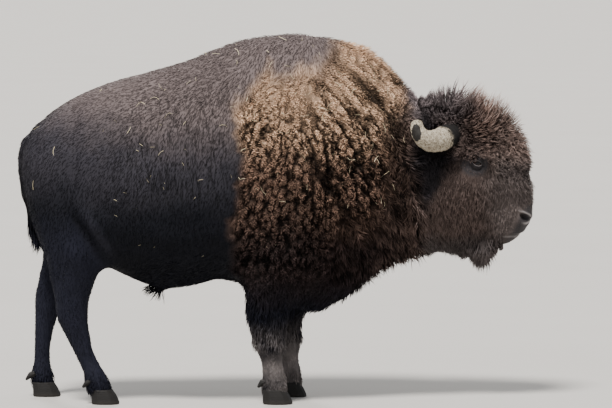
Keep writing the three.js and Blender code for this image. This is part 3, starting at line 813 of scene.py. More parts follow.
def growTufts(name, roots, look, seed):
    # One mesh of tapered three-sided tufts. Lengths and heights may be arrays over the roots.
    random = np.random.default_rng(seed)
    count = len(roots["at"])
    at, normal = roots["at"], roots["normal"]
    lie = roots["lie"] if "lie" in roots else lieAt(at, normal)
    turn = random.normal(0, look["stray"], count)[:, None]
    side = np.cross(normal, lie)
    lie = unit(lie * np.cos(turn) + side * np.sin(turn))
    side = np.cross(normal, lie)
    length = look["length"] * random.uniform(0.75, 1.2, count)
    height = look["height"] * random.uniform(0.8, 1.15, count)
    radius = look["radius"] * random.uniform(0.8, 1.2, count)
    shade = random.uniform(0.75, 1.0, count)
    pull = np.zeros((count, 3))
    phase = random.uniform(0, 6.28, count)
    for level, locks in enumerate(roots.get("locks", [])):
        middle = locks["lock"]
        table = np.random.default_rng(seed + 1 + level)
        many = middle.max() + 1
        crest = step(locks["edge"], 0.0, locks["cleft"])
        height = height * (1 - locks["deep"] * (1 - crest)) * table.uniform(0.86, 1.1, many)[middle]
        length = length * (1 - 0.5 * locks["deep"] * (1 - crest))
        # Painted shade darkens the tufts in the clefts between locks, and a painted highlight lightens those
        # in a lock's middle; each lock also has its own tone.
        shade = shade * (1 - locks["dark"] * (1 - crest)) * table.uniform(0.82, 1.06, many)[middle]
        shade = shade * (1 + locks.get("bright", 0) * step(locks["edge"], 0.35, 0.9))
        pull = pull + locks["offset"] * np.reshape(locks["pull"], (-1, 1))
        phase = table.uniform(0, 6.28, many)[middle] + random.normal(0, 0.5, count)
    rings = look["rings"]
    steps = np.arange(rings) / rings
    spin = random.uniform(0, 2.09, count)
    wave = look["wave"] * random.uniform(0.6, 1.3, count)
    vertices = np.empty((count, rings * 3 + 1, 3), dtype=np.float32)
    alongs = np.empty((count, rings * 3 + 1), dtype=np.float32)
    flats = np.empty((count, rings * 3 + 1, 2), dtype=np.float32)
    patch = 0.0014  # half the size of a tuft's patch on the skin's map

    def middleAt(t):
        rise = 1 - (1 - t) ** look["rise"]
        sway = wave * (np.sin(phase + look["waves"] * 6.28 * t) - np.sin(phase)) * t ** 0.5
        lift = normal * (height * rise - look["sink"] * (1 - t))[:, None]
        return at + lift + lie * (length * t)[:, None] + side * sway[:, None] + pull * t ** 1.3

    for ring, t in enumerate(steps):
        middle = middleAt(t)
        thin = radius * (1 - look["taper"] * t)
        for corner in range(3):
            angle = spin + corner * 2.0944
            over = normal * (np.sin(angle) * thin * look["flat"])[:, None]
            point = ring * 3 + corner
            vertices[:, point] = middle + (side * (np.cos(angle) * thin)[:, None] + over)
            alongs[:, point] = t
            flats[:, point, 0] = roots["flat"][:, 0] + (corner - 1) * patch
            flats[:, point, 1] = roots["flat"][:, 1] + (t - 0.5) * patch * 2
    vertices[:, -1] = middleAt(1.0)
    alongs[:, -1] = 1
    flats[:, -1, 0] = roots["flat"][:, 0]
    flats[:, -1, 1] = roots["flat"][:, 1] + patch
    faces = [(0, 2, 1)]
    for ring in range(rings - 1):
        low, high = ring * 3, ring * 3 + 3
        for corner in range(3):
            after = (corner + 1) % 3
            faces += [(low + corner, low + after, high + after), (low + corner, high + after, high + corner)]
    top = rings * 3 - 3
    faces += [(top + corner, top + (corner + 1) % 3, rings * 3) for corner in range(3)]
    faces = np.array(faces)
    every = (faces[None] + (np.arange(count) * (rings * 3 + 1))[:, None, None]).reshape(-1)
    mesh = bpy.data.meshes.new(name)
    mesh.vertices.add(count * (rings * 3 + 1))
    mesh.vertices.foreach_set("co", vertices.ravel())
    mesh.loops.add(len(every))
    mesh.loops.foreach_set("vertex_index", every.astype(np.int32))
    mesh.polygons.add(len(every) // 3)
    mesh.polygons.foreach_set("loop_start", np.arange(0, len(every), 3, dtype=np.int32))
    mesh.polygons.foreach_set("use_smooth", np.ones(len(every) // 3, dtype=bool))
    layer = mesh.uv_layers.new(name="OFBake")
    layer.data.foreach_set("uv", flats.reshape(-1, 2)[every].ravel())
    piece = addPiece(name, mesh)
    writeMark(piece, "along", alongs)
    writeMark(piece, "shade", np.repeat(shade, rings * 3 + 1))
    mesh.update(calc_edges=True)
    mesh.validate()
    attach(piece, "root")
    print(name, count, "tufts,", len(mesh.polygons), "triangles")
    return piece


# Colours of the coat, from the tan shoulder to the black legs. The under, flank and leg colours are partly
# painted shade: nearly black, and tinted blue like skylight in shade.
coatColours = {
    "tan": (0.92, 0.61, 0.405), "rust": (0.29, 0.176, 0.126), "umber": (0.05, 0.033, 0.031),
    "mane": (0.113, 0.077, 0.066), "saddle": (0.158, 0.125, 0.122), "flank": (0.034, 0.0315, 0.0395),
    # The fold colour is a painted highlight and the crease colour painted shade, at the flank's fold over the
    # thigh.
    "under": (0.0048, 0.0054, 0.0092), "fold": (0.032, 0.032, 0.045), "paintedCreaseShade": (0.003, 0.003, 0.004),
    "leg": (0.0128, 0.0138, 0.0245), "shin": (0.42, 0.37, 0.36), "head": (0.205, 0.149, 0.133),
    "brow": (0.74, 0.49, 0.39), "face": (0.28, 0.228, 0.215), "poll": (0.225, 0.185, 0.19),
    "nape": (0.043, 0.038, 0.044), "beard": (0.138, 0.115, 0.113), "brightest": (0.97, 0.73, 0.51),
}


def markings(place):
    x, _, z = place.axes()
    drift = place.noise(2.6, 3) - 0.5
    patches = place.noise(9, 3) - 0.5
    # Colours change with height, darker low down: partly the coat's own colours and the dust on the back,
    # partly painted shade under the body.
    level = z + drift * 0.3 + patches * 0.12
    colours = coatColours
    back = step(level + x * 0.16, 1.05, 1.41).blend(colours["flank"], colours["saddle"])
    rear = step(level, 0.86, 1.2).blend(colours["under"], back)
    # The fold of the flank over the thigh: painted shade in its crease behind a painted highlight on its
    # edge.
    fromFold = (x + 0.885) * 0.857 + (z - 0.8) * 0.515
    alongFold = (z - 0.8) * 0.857 - (x + 0.885) * 0.515
    there = 1 - step(abs(alongFold), 0.06, 0.18)
    paintedCreaseShade = there * (1 - step(abs(fromFold), 0.0, 0.03))
    edge = there * (1 - step(abs(fromFold - 0.055), 0.0, 0.045))
    rear = (edge * 0.5).blend(rear, colours["fold"])
    rear = (paintedCreaseShade * 0.8).blend(rear, colours["paintedCreaseShade"])
    low = step(level, 0.7, 1.12).blend(colours["umber"], colours["rust"])
    wool = step(level, 1.08, 1.42).blend(low, colours["tan"])
    mane = step(x + patches * 0.2 + drift * 0.1, 0.44, 0.6) * (1 - step(level, 1.3, 1.5))
    wool = (mane * 0.85).blend(wool, colours["mane"])
    body = woolAt(x + drift * 0.12, z + patches * 0.12, 0.085).blend(rear, wool)
    dusty = step(x, -0.4, -0.3) * (1 - step(z + patches * 0.2, 0.24, 0.42)) * (0.55 + patches * 2.5)
    leg = dusty.blend(colours["leg"], colours["shin"])
    thigh = step(0 - x, 0.68, 0.95)
    body = step(z + patches * 0.1 - thigh * 0.3, 0.42, 0.66).blend(leg, body)
    front = step(x + z * 0.55 + patches * 0.1, 1.62, 1.82).blend(colours["head"], colours["brow"])
    ahead = step(x + drift * 0.06, 0.94, 1.1) * (1 - 0.35 * step(z, 1.1, 1.22))
    front = ahead.blend(front, colours["face"])
    # Nearly black behind and under the horn, and grey on the back of the crown.
    near = abs(x - 0.72) * 8 + abs(z - 1.17) * 5.2 + patches * 1.3
    crown = (1 - step(x - (z - 1.35) * 0.3 + patches * 0.2, 0.78, 1.1)) * step(z, 1.28, 1.4)
    front = step(z + patches * 0.05, 0.74, 0.84).blend(colours["beard"], front)
    front = (1 - step(near, 0.8, 1.5)).blend(crown.blend(front, colours["poll"]), colours["nape"])
    return step(x + (z - 1.2) * 0.12 + patches * 0.12 + drift * 0.08, 0.6, 0.7).blend(body, front)


def paintedWrinkleShadeOf(place):
    # Painted shade in the grooves of thin upright wrinkles of the loose skin on the flank, dark where this is
    # low.
    x, _, z = place.axes()
    here = step(x, -0.95, -0.6) * (1 - step(x, -0.24, -0.16)) * step(z, 0.85, 1.05) * (1 - step(z, 1.42, 1.6))
    lines = place.noise(40, 2, 0.5, (1, 1, 0.15)) - 0.5
    return 1 - 0.6 * here * (1 - step(abs(lines), 0.0, 0.07))


def toned(place, tone):
    # The markings, each made lighter or darker by tone.
    grey = tone.node("CombineXYZ", {}, {"X": tone, "Y": tone, "Z": tone})
    return place.node("VectorMath", {"operation": "MULTIPLY"}, {0: markings(place), 1: grey})


def coatMaterial(name, dim, tip, rough, power=2, paintsWrinkleShade=False):
    # Hair colour over the markings: dark at the root, lighter at the tip, and each tuft its own tone, which
    # also carries painted shade in the clefts and a painted highlight on the middles of locks.
    material, place = startMaterial(name, Specular_IOR_Level=0.1)
    along = place.mark("along")
    shade = place.mark("shade")
    rise = along * along if power == 2 else along
    tone = (dim + (tip - dim) * rise) * shade * (0.8 + place.noise(45, 2) * 0.4)
    tone = tone.math("MINIMUM", tone, 1.9)
    # Painted shade in the grooves of the flank's wrinkles.
    if paintsWrinkleShade:
        tone = tone * paintedWrinkleShadeOf(place)
    most = {0: toned(place, tone), 1: coatColours["brightest"]}
    colour = place.node("VectorMath", {"operation": "MINIMUM"}, most)
    return finishMaterial(material, colour, rough + place.noise(30, 2) * 0.15)


def skinMaterial():
    material, place = startMaterial("skin_hair", Specular_IOR_Level=0.12)
    streaks = place.noise(34, 4, 0.65, (1, 1, 0.22))
    fine = place.noise(130, 3, 0.6, (1, 1, 0.25))
    x, _, z = place.axes()
    under = 1 - 0.6 * step(x, -0.22, -0.12) * (1 - step(z - saddleLine(x), -0.035, 0.035))
    wrinkles = place.noise(38, 3, 0.6, (1, 1, 0.13))
    tone = (0.3 + streaks * 0.3 + fine * 0.25 + wrinkles * 0.3) * paintedWrinkleShadeOf(place)
    # The shade mark is painted shade in the clefts of the wool.
    tone = tone * under * place.mark("shade")
    # Bare skin round the eyes and on the nose, in small cells, and wet at the nostrils, with a painted
    # highlight on the wet places.
    bare = place.mark("bare")
    wet = place.mark("wet")
    inputs = {"Vector": place, "Scale": 330}
    edges = place.node("TexVoronoi", {"feature": "DISTANCE_TO_EDGE"}, inputs, "Distance")
    pores = step(edges, 0.0, 0.12)
    leather = (pores * 0.6 + place.noise(55, 3) * 0.5).blend((0.009, 0.0082, 0.0096), (0.038, 0.0345, 0.0375))
    colour = (bare * 0.92).blend(toned(place, tone), leather)
    # Painted highlight: the wet places are blended towards a pale grey.
    colour = (wet * (0.3 + fine * 1.0)).blend(colour, (0.45, 0.415, 0.41))
    rough = 0.75 - bare * 0.22 - wet * 0.3
    height = (streaks * 0.5 + fine * 0.5 + wrinkles * 0.8) * (1 - bare) + (pores * 0.25 + fine * 0.2) * bare
    return finishMaterial(material, colour, rough, height, 0.55, 0.006)


def lockRoots(roots, levels):
    # Gives each root its locks, one level over another.
    roots["locks"] = []
    for level in levels:
        found = clumpsAt(roots["at"], roots["lie"], level["centres"], level["stretch"])
        for name in ("cleft", "deep", "dark", "pull", "bright"):
            given = level.get(name, 0)
            found[name] = given(roots["at"]) if callable(given) else given
        roots["locks"].append(found)


def refine(piece, wanted):
    # Halves the faces whose middles are wanted.
    chosen = wanted(read(piece.data.polygons, "center", 3))
    select(piece)
    bpy.ops.object.mode_set(mode="EDIT")
    bpy.ops.mesh.select_mode(type="FACE")
    bpy.ops.mesh.select_all(action="DESELECT")
    bpy.ops.object.mode_set(mode="OBJECT")
    piece.data.polygons.foreach_set("select", chosen)
    bpy.ops.object.mode_set(mode="EDIT")
    bpy.ops.mesh.subdivide(number_cuts=1, smoothness=0.6)
    bpy.ops.object.mode_set(mode="OBJECT")


def reliefAt(points):
    # How deep the clefts of the wool are: shallow high on the shoulder, deepest low on the neck.
    x, _, z = points.T
    high = step(z - 0.25 * np.abs(x - 0.35), 1.2, 1.5)
    shallow = woolAt(x, z) * (0.35 + 0.65 * (1 - high)) * step(z, 0.5, 0.7)
    return shallow * (1 - 0.8 * hangAt(points)) * (1 - step(x, 0.62, 0.72))


def pullAt(points):
    # How far tufts draw together into their lock.
    return 0.2 + 0.5 * hangAt(points)


def hangAt(points):
    # 1 where the wool hangs in long locks, on the throat and on the neck behind the head.
    x, _, z = points.T
    return woolAt(x, z) * np.maximum(throatAt(x, z), maneAt(x, z)) * (1 - step(x, 0.68, 0.76))


def furrowAt(points):
    # 1 where the long furrows run down the shoulder.
    x, _, z = points.T
    ends = step(x, 0.1, 0.24) * (1 - step(x - 0.3 * (z - 1.2), 0.5, 0.62))
    return woolAt(x, z) * ends * (0.2 + 0.8 * step(1.7 - z, 0, 0.2)) * step(z, 0.8, 1.0)


felt = {
    "lumps": {"apart": 0.038, "stretch": 1.8, "cleft": 0.4, "sunk": 0.016, "deep": reliefAt},
    "furrows": {"apart": 0.15, "stretch": 8.0, "cleft": 0.25, "sunk": 0.024, "deep": furrowAt},
    "locks": {"apart": 0.046, "stretch": 3.6, "cleft": 0.42, "sunk": 0.012, "deep": hangAt},
}


def feltWool(piece):
    # Presses the clefts between the lumps of matted wool into the skin, and paints shade into them.
    facts = factsOf(piece)
    share = (woolAt(facts["middle"][:, 0], facts["middle"][:, 2]) > 0.02).astype(float)
    places, normals = placesOf(piece), normalsOf(piece)
    shade = np.ones(len(places), dtype=np.float32)
    inside = np.flatnonzero(woolAt(places[:, 0], places[:, 2]) > 0.02)
    lie = lieAt(places[inside], normals[inside])
    sunk = np.zeros(len(inside))
    for seed, look in enumerate(felt.values()):
        look["centres"] = scatter(facts, share, look["apart"], 40 + seed)["at"]
        found = clumpsAt(places[inside], lie, look["centres"], look["stretch"])
        opening = (1 - step(found["edge"], 0.0, look["cleft"])) * look["deep"](places[inside])
        deeper = opening * look["sunk"]
        sunk = np.maximum(sunk, deeper) + 0.3 * np.minimum(sunk, deeper)
        # Painted shade: the skin's colour is darkened in the clefts.
        shade[inside] *= 1 - 0.92 * opening
    places[inside] -= normals[inside] * sunk[:, None]
    movePoints(piece, places)
    writeMark(piece, "shade", shade)


def zoneOf(points):
    # Names a coat piece for each place on the skin, so that none is too large.
    x, y, z = points.T
    side = np.where(y < 0, "right", "left")
    wool = woolAt(x, z) > 0.5
    zone = np.where(x < -0.62, "rump", np.char.add("barrel_", side))
    zone = np.where((z > saddleLine(x) - 0.02) & (x > -0.45) & (x < 0.4), "saddle", zone)
    zone = np.where(wool & (x > -0.25), np.char.add("cape_", side), zone)
    zone = np.where(wool & (x > 0.24), np.char.add("neck_", side), zone)
    zone = np.where((z < 0.6) & (x < 0.4) & (x > -0.3), "forelegs", zone)
    zone = np.where((z < 0.62) & (x < -0.62), "hindlegs", zone)
    zone = np.where((x < -1.1) & (np.abs(y) < 0.06), "tail", zone)
    zone = np.where((x > -0.59) & (x < -0.53) & (np.abs(y) < 0.05) & (z < 0.6), "sheath", zone)
    zone = np.where(x > 0.7, "face", zone)
    return zone


coat = {
    "body": {"rings": 2, "rise": 2.2, "sink": 0.003, "taper": 0.65, "flat": 0.7,
             "wave": 0.001, "waves": 0.8},
    "wool": {"rings": 2, "rise": 1.5, "sink": 0.004, "taper": 0.25, "flat": 1.0,
             "wave": 0.0012, "waves": 0.8},
    "long": {"rings": 3, "rise": 1.8, "sink": 0.004, "taper": 0.6, "flat": 0.8,
             "wave": 0.006, "waves": 0.9},
    "face": {"rings": 2, "rise": 1.9, "sink": 0.002, "taper": 0.6, "flat": 0.7,
             "wave": 0.003, "waves": 0.9},
}
# What single pieces have of their own.
special = {
    "crown": {"spacing": 0.0058, "radius": 0.0033, "rise": 1.35, "stray": 0.42, "wave": 0.013, "waves": 1.1},
    "beard": {"spacing": 0.0043, "radius": 0.0036, "rise": 1.3, "stray": 0.2, "wave": 0.009},
    "sheath": {"length": 0.03, "height": 0.062, "radius": 0.004, "rise": 1.1},
    "tail": {"wave": 0.002, "stray": 0.08},
}
styles = {
    "cape": "wool", "neck": "wool", "face": "face", "forelegs": "long", "tail": "long",
    "crown": "long", "beard": "long", "sheath": "long",
}
# dark: how much the tufts in the clefts between locks are darkened, as painted shade.
locks = {
    "body": {"apart": 0.03, "stretch": 5.0, "cleft": 0.5, "deep": 0.3, "dark": 0.22, "pull": 0.25},
    "face": {"apart": 0.021, "stretch": 2.2, "cleft": 0.5, "deep": 0.3, "dark": 0.45, "pull": 0.75},
    "long": {"apart": 0.024, "stretch": 2.0, "cleft": 0.5, "deep": 0.2, "dark": 0.4, "pull": 0.7},
}


def aim(roots, way):
    # Points each tuft along way, and says how much of that goes out and how much along the skin.
    out = (way * roots["normal"]).sum(axis=1)
    flat = way - roots["normal"] * out[:, None]
    roots["lie"] = unit(flat)
    return out, np.linalg.norm(flat, axis=1)


def wayOut(roots, way, tree, most):
    # How far each root is from the outside of the node round it, along way.
    reach = np.zeros(len(way))
    for index, (root, ray) in enumerate(zip(roots["at"], way)):
        start, ray = Vector(root), Vector(ray)
        for _ in range(4):
            hit, _, _, far = tree.ray_cast(start + ray * (reach[index] + 0.0005), ray, most - reach[index])
            if hit is None:
                break
            reach[index] += far + 0.0005
    return reach


def raiseCrown(roots, tree):
    # The crown's hair reaches the outside of its node, and stands up on top of it.
    x, _, z = roots["at"].T
    top = step(z, 1.2, 1.36)
    front = step(x, 1.04, 1.12) * (1 - step(z, 1.1, 1.2))
    way = roots["normal"] * (0.72 + 0.5 * top)[:, None] + roots["lie"] * (0.68 - 0.45 * top)[:, None]
    way = unit(way)
    reach = wayOut(roots, way, tree, 0.22)
    out, flat = aim(roots, way)
    reach = np.maximum(reach * 1.15 + 0.014 * top, 0.045 - 0.02 * front)
    return {"length": reach * flat, "height": reach * out}


def hangBeard(roots):
    # The beard hangs down to a point under the chin.
    x, y, z = roots["at"].T
    out, flat = aim(roots, unit(roots["normal"] * 0.22 + np.array([[-0.08, 0, -1]])))
    reach = 1.2 * np.clip(z - (0.638 + 15 * (x - 0.993) ** 2 + 9 * y ** 2), 0.03, 0.2)
    return {"length": reach * flat, "height": reach * out}


def turnFromHorns(roots, look):
    # Hair round the base of a horn stands out along it.
    normal = roots["normal"]
    for sign in sides.values():
        base = turned(horn["base"], sign)
        outwards = np.array(turned(horn["beyond"], sign) - base)
        close = 1 - step(np.linalg.norm(roots["at"] - np.array(base), axis=1), 0.095, 0.14)
        look["height"] = look["height"] + (0.062 - look["height"]) * close
        look["length"] = look["length"] + (0.035 - look["length"]) * close
        way = roots["lie"] * (1 - close[:, None]) + unit(outwards[None] + 0 * normal) * close[:, None]
        roots["lie"] = unit(way - normal * (way * normal).sum(axis=1, keepdims=True))


def woolLevels():
    # The lumps, furrows and locks of the skin again, as clefts in the wool over it, with painted shade in the
    # clefts and a painted highlight in the middle of each lock.
    return [{"centres": level["centres"], "stretch": level["stretch"], "cleft": level["cleft"],
             "dark": lambda points, deep=level["deep"]: 0.95 * deep(points), "pull": pullAt, "bright": 0.3}
            for level in felt.values()]


def growCoat(skinPiece):
    facts = factsOf(skinPiece)
    middle = facts["middle"]
    grown = growthAt(middle)
    zones = zoneOf(middle).astype("<U16")
    onHead = np.flatnonzero(middle[:, 0] > 0.68)
    crownTree = treeOf("crown")
    # Skin that lies this far or less under the crown or the beard carries their hair.
    for kind, tree, reach in (("crown", crownTree, 0.016), ("beard", treeOf("beard"), 0.026)):
        near = distanceTo(tree, middle[onHead], 0.1) < grown["depth"][onHead] + reach
        zones[onHead[near]] = kind
    materials = {
        "wool": coatMaterial("wool", 0.45, 1.7, 0.8, 1),
        "body": coatMaterial("sleek", 0.8, 1.25, 0.6, 2, True),
        "long": coatMaterial("hair", 0.4, 1.35, 0.65),
    }
    for seed, name in enumerate(sorted(set(zones))):
        kind = name.split("_")[0]
        style = styles.get(kind, "body")
        own = special.get(kind, {})
        share = (zones == name).astype(float)
        if kind == "face":
            share = share * openFace(middle)
        roots = scatter(facts, share, own.get("spacing", grown["spacing"]), 100 + seed)
        look = {**coat[style], **growthAt(roots["at"]), **own}
        roots["lie"] = lieAt(roots["at"], roots["normal"])
        if kind == "crown":
            look.update(raiseCrown(roots, crownTree))
        if kind == "beard":
            look.update(hangBeard(roots))
        if kind in ("crown", "face"):
            turnFromHorns(roots, look)
        if kind == "face":
            # Deeper hair down the bridge of the nose, level with the crown over it.
            bridge = np.exp(-((roots["at"][:, 2] - 1.05) / 0.045) ** 2) * step(roots["at"][:, 0], 1.12, 1.18)
            look["height"] = look["height"] + 0.016 * bridge
        if kind == "tail":
            look["length"] = np.minimum(look["length"], np.maximum(roots["at"][:, 2] - 0.7, 0.02))
        if style == "wool":
            levels = woolLevels()
        else:
            centres = scatter(facts, share, locks[style]["apart"], 300 + seed)["at"]
            levels = [dict(locks[style], centres=centres)]
        lockRoots(roots, levels)
        piece = growTufts("coat_" + name, roots, look, 500 + 10 * seed)
        piece.data.materials.append(materials.get(style, materials["long"]))
        if kind in ("crown", "beard"):
            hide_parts(kind)
    return facts


# Horns, as middles and radii along one horn of a head that looks straight ahead.
horn = {
    "line": [(0.842, 0.096, 1.288), (0.812, 0.158, 1.272), (0.766, 0.224, 1.258),
             (0.716, 0.27, 1.272), (0.686, 0.28, 1.314), (0.682, 0.264, 1.356)],
    "radii": [0.06, 0.058, 0.053, 0.044, 0.034, 0.025],
    "rubbed": (0.678, 0.315, 1.3),
    "base": (0.82, 0.15, 1.275), "beyond": (0.79, 0.24, 1.262),
    "rings": 90, "around": 40,
}


def along(points, share):
    # A smooth curve through points, at a share of the way.
    place = share * (len(points) - 1)
    index = min(int(place), len(points) - 2)
    t = place - index
    a, b, c, d = (np.array(points[min(max(index + k, 0), len(points) - 1)]) for k in (-1, 0, 1, 2))
    bend, twist = 2 * a - 5 * b + 4 * c - d, 3 * b - a - 3 * c + d
    return 0.5 * (2 * b + (c - a) * t + bend * t * t + twist * t ** 3)


def tubeMesh(name, rings, closed=False):
    # A tube through rings of points, capped at its ends unless it closes on itself.
    around = len(rings[0])
    points = [tuple(p) for ring in rings for p in ring]
    faces = []
    for index in range(len(rings) if closed else len(rings) - 1):
        low = index * around
        high = (index + 1) % len(rings) * around
        for k in range(around):
            after = (k + 1) % around
            faces.append((low + k, low + after, high + after, high + k))
    if not closed:
        faces += [tuple(range(around))[::-1], tuple(range(len(points) - around, len(points)))]
    mesh = bpy.data.meshes.new(name)
    mesh.from_pydata(points, [], faces)
    piece = addPiece(name, mesh)
    edit(piece, bpy.ops.mesh.normals_make_consistent, inside=False)
    smooth(piece)
    return piece


def ringsAlong(path, radii, around, bump=None):
    # Rings of points round a path, each moved out by bump where one is given.
    rings = []
    before = Vector((0, 0, 1))
    for index, middle in enumerate(path):
        ahead = path[min(index + 1, len(path) - 1)] - path[max(index - 1, 0)]
        ahead.normalize()
        side = (before - ahead * before.dot(ahead)).normalized()
        before = side
        other = ahead.cross(side)
        ring = []
        for k in range(around):
            angle = k / around * 2 * math.pi
            out = side * math.cos(angle) + other * math.sin(angle)
            more = bump(index / (len(path) - 1), middle, out) if bump else 0
            ring.append(middle + out * (radii[index] + more))
        rings.append(ring)
    return rings


def hornBump(t, middle, out):
    # Rings at the base, a worn chipped end and lumps of dried mud.
    place = middle + out * 0.04
    lumps = noise.fractal(place * 34, 0.7, 2.0, 4) * 0.0032 + noise.fractal(place * 120, 0.8, 2.0, 3) * 0.0013
    rings = math.sin(t * 115 + 2 * noise.noise(place * 20)) * 0.0011 * (1 - step(t, 0.2, 0.45))
    chip = -0.006 * step(noise.noise(place * 55), 0.1, 0.5) * step(t, 0.84, 0.97)
    return lumps + rings + chip


def makeHorns():
    material, place = startMaterial("horn", Specular_IOR_Level=0.18)
    t = place.mark("along")
    worn = place.mark("worn")
    crust = place.noise(60, 5, 0.7)
    grit = place.noise(120, 5, 0.8)
    blots = place.noise(28, 4, 0.7)
    mud = step(crust + blots * 0.5 + grit * 0.3 - worn * 0.6, 0.56, 0.68)
    bare = place.noise(120, 3, 0.6, (1, 1, 0.2)).blend((0.006, 0.0055, 0.0055), (0.04, 0.036, 0.032))
    dry = step(grit + crust * 0.4, 0.5, 0.85).blend((0.125, 0.095, 0.06), (0.47, 0.415, 0.325))
    colour = mud.blend(bare, dry)
    colour = step(t + crust * 0.16, 0.28, 0.38).blend((0.009, 0.008, 0.008), colour)
    finishMaterial(material, colour, 0.5 + mud * 0.4, crust * 0.6 + grit * 0.7, 0.8, 0.006)
    for side, sign in sides.items():
        share = np.linspace(0, 1, horn["rings"])
        path = [turned(along(horn["line"], s), sign) for s in share]
        radii = [float(along([[r] for r in horn["radii"]], s)[0]) for s in share]
        radii = [r * (1 - 0.5 * max(0.0, (s - 0.95) / 0.05) ** 2) for r, s in zip(radii, share)]
        piece = tubeMesh("horn_" + side + "_shell", ringsAlong(path, radii, horn["around"], hornBump))
        writeMark(piece, "along", np.repeat(share, horn["around"]))
        # The outer face near the tip is rubbed bare and dark.
        away = (placesOf(piece) - np.array(turned(horn["rubbed"], sign))) * np.array([1.25, 1, 0.75])
        writeMark(piece, "worn", 1 - step(np.linalg.norm(away, axis=1), 0.022, 0.045))
        piece.data.materials.append(material)
        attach(piece, "root")
        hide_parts("horn_" + side)
    print("horns")


hoof = {"voxel": 0.003, "rounds": 6}


def makeHooves():
    material, place = startMaterial("hoof", Specular_IOR_Level=0.25)
    z = place.axes()[2]
    inputs = {"Vector": place, "Scale": 38, "Distortion": 7, "Detail": 4, "Detail Scale": 1.5}
    rings = place.node("TexWave", {"bands_direction": "Z", "wave_profile": "SIN"}, inputs, "Fac")
    worn = place.noise(70, 4, 0.65)
    colour = (rings * 0.25 + worn * 0.75).blend((0.003, 0.0027, 0.0027), (0.014, 0.0125, 0.0117))
    dust = ((1 - step(z + worn * 0.03, 0.014, 0.045)) * 0.2).blend(colour, (0.055, 0.046, 0.037))
    finishMaterial(material, dust, 0.5 + worn * 0.4, rings * 0.3 + worn * 0.8, 0.4, 0.003)
    names = [name for name in nodes if name.startswith(("hoof_", "dewclaw_"))]
    for name in names:
        piece = copyOf([name], name + "_shell")
        modify(piece, "REMESH", mode="VOXEL", voxel_size=hoof["voxel"])
        modify(piece, "SMOOTH", factor=0.5, iterations=hoof["rounds"])
        smooth(piece)
        piece.data.materials.append(material)
        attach(piece, "root")
        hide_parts(name)
    print("hooves", len(names))


def makeEyes():
    for side, sign in sides.items():
        middle, _, _, out = eyeFrame(sign)
        material, spot = startMaterial(
            "eye_" + side, Coat_Weight=0.12, Coat_Roughness=0.04, Specular_IOR_Level=0.16)
        away = spot.node("VectorMath", {"operation": "SUBTRACT"}, {0: spot, 1: tuple(middle)})
        facing = away.node("VectorMath", {"operation": "DOT_PRODUCT"}, {0: away, 1: tuple(out)}, "Value")
        spread = away.node("VectorMath", {"operation": "LENGTH"}, {0: away}, "Value")
        z = away.axes()[2]
        facing = facing / spread
        fibres = spot.noise(500, 3)
        iris = fibres.blend((0.005, 0.0026, 0.0018), (0.019, 0.009, 0.006))
        pupil = step(facing - abs(z) * 9, 0.9, 0.92)
        colour = pupil.blend(iris, (0.002, 0.002, 0.003))
        colour = step(facing + fibres * 0.02, 0.66, 0.72).blend((0.028, 0.018, 0.016), colour)
        finishMaterial(material, colour, 0.08 + fibres * 0.08)
        bpy.ops.object.select_all(action="DESELECT")
        bpy.ops.mesh.primitive_uv_sphere_add(
            segments=64, ring_count=40, radius=eye["radius"], location=middle)
        piece = bpy.context.object
        bpy.ops.object.transform_apply(location=True)
        places = placesOf(piece)
        ways = unit(places - middle)
        front = step(ways @ out, 0.74, 0.9)
        movePoints(piece, places + ways * (front * eye["cornea"])[:, None])
        bpy.ops.object.shade_smooth()
        piece.name = "eye_" + side + "_ball"
        piece.data.materials.append(material)
        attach(piece, "root")
        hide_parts("eye_" + side)
    print("eyes")


lid = {"upper": 0.003, "lower": 0.0015, "corner": 0.0012, "steps": 72, "around": 10, "proud": 0.0012}


def makeLids():
    # The thick edges of the lids: dark above, and pale below, where a highlight is painted along the lower
    # lid.
    material, place = startMaterial("eyelid")
    pale = place.mark("pale")
    spots = place.noise(240, 3)
    colour = (pale * (0.55 + spots * 0.6)).blend((0.012, 0.0105, 0.012), (0.29, 0.26, 0.26))
    finishMaterial(material, colour, 0.5 - pale * 0.2, spots, 0.3, 0.001)
    for side, sign in sides.items():
        middle, ahead, up, out = eyeFrame(sign)
        wide = eye["opening"][0]
        ball = eye["radius"] + lid["proud"]
        path, radii, marks = [], [], []
        for index in range(lid["steps"]):
            angle = index / lid["steps"] * 2 * math.pi
            across = wide * 1.02 * math.cos(angle)
            upper = math.sin(angle) >= 0
            high = float(lidEdge(np.array(across), upper)) if abs(across) < wide else 0.0
            forth = math.sqrt(max(ball ** 2 - across ** 2 - high ** 2, 0.00002))
            path.append(Vector(middle + ahead * across + up * high + out * forth))
            thick = abs(math.sin(angle)) ** 0.5
            radii.append(lid["corner"] + (lid["upper" if upper else "lower"] - lid["corner"]) * thick)
            # Painted highlight along the lower lid.
            marks += [0.0 if upper else min(1.0, thick * 1.4)] * lid["around"]
        piece = tubeMesh("lid_" + side, ringsAlong(path, radii, lid["around"]), True)
        writeMark(piece, "pale", marks)
        piece.data.materials.append(material)
        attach(piece, "root")


straw = {
    "count": 420, "long": (0.01, 0.055), "thick": 0.0007,
    "on": ("rump", "saddle", "barrel_right", "barrel_left", "cape_right", "cape_left",
           "neck_right", "neck_left"),
}


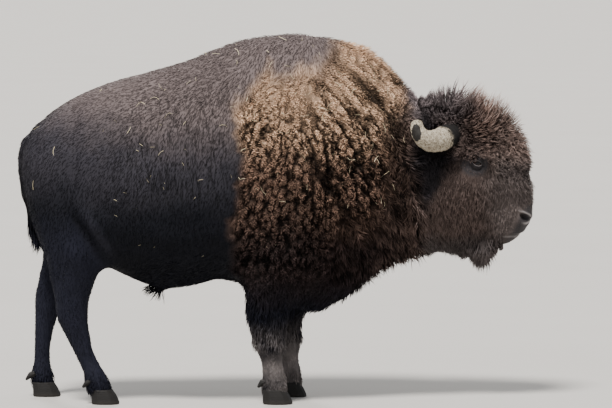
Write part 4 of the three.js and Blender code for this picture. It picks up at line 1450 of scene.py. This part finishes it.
def scatterStraw(facts):
    # Bits of dry grass caught in the coat of the back and the shoulder.
    coatTree = treeOfPieces(*("coat_" + name for name in straw["on"]))
    random = np.random.default_rng(77)
    middle = facts["middle"]
    x, _, z = middle.T
    share = ((z > 0.95) & (x < 0.62)) * (0.1 + step(z, 1.15, 1.35) + 0.5 * (x > -0.2)) * facts["area"]
    chosen = random.choice(len(middle), straw["count"], p=share / share.sum())
    points, faces = [], []
    for index in chosen:
        out = unit(facts["normals"][index].mean(axis=0)[None])[0]
        hit = coatTree.ray_cast(Vector(middle[index] + out * 0.12), Vector(-out))[0]
        if hit is None:
            continue
        way = random.normal(0, 1, 3)
        way = way - out * (way @ out) * 0.75
        way /= np.linalg.norm(way)
        side = np.cross(out, way)
        half = random.uniform(*straw["long"]) / 2
        bend = random.normal(0, half * 0.25)
        thick = straw["thick"] * random.uniform(0.7, 1.6)
        start = len(points)
        for t in (-1.0, -0.3, 0.4, 1.0):
            crest = 1 - t * t
            spot = np.array(hit) + out * (0.001 + 0.002 * crest) + way * half * t + side * bend * crest
            for angle in (0, 2.1, 4.2):
                points.append(spot + (side * math.cos(angle) + out * math.sin(angle)) * thick)
        for low in range(start, start + 9, 3):
            for k in range(3):
                after = (k + 1) % 3
                faces.append((low + k, low + after, low + 3 + after, low + 3 + k))
        faces += [(start + 2, start + 1, start), (start + 9, start + 10, start + 11)]
    mesh = bpy.data.meshes.new("straw")
    mesh.from_pydata([tuple(p) for p in points], [], faces)
    piece = addPiece("straw", mesh)
    edit(piece, bpy.ops.mesh.normals_make_consistent, inside=False)
    material, place = startMaterial("straw")
    colour = place.noise(90, 3).blend((0.42, 0.33, 0.19), (0.8, 0.72, 0.52))
    piece.data.materials.append(finishMaterial(material, colour, 0.5 + place.noise(300, 2) * 0.3))
    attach(piece, "root")
    print("straw", len(chosen))


coverFloor(setStage())
skinPiece = makeSkin()
skinPiece.data.materials.append(skinMaterial())
scatterStraw(growCoat(skinPiece))
makeHorns()
makeHooves()
makeEyes()
makeLids()
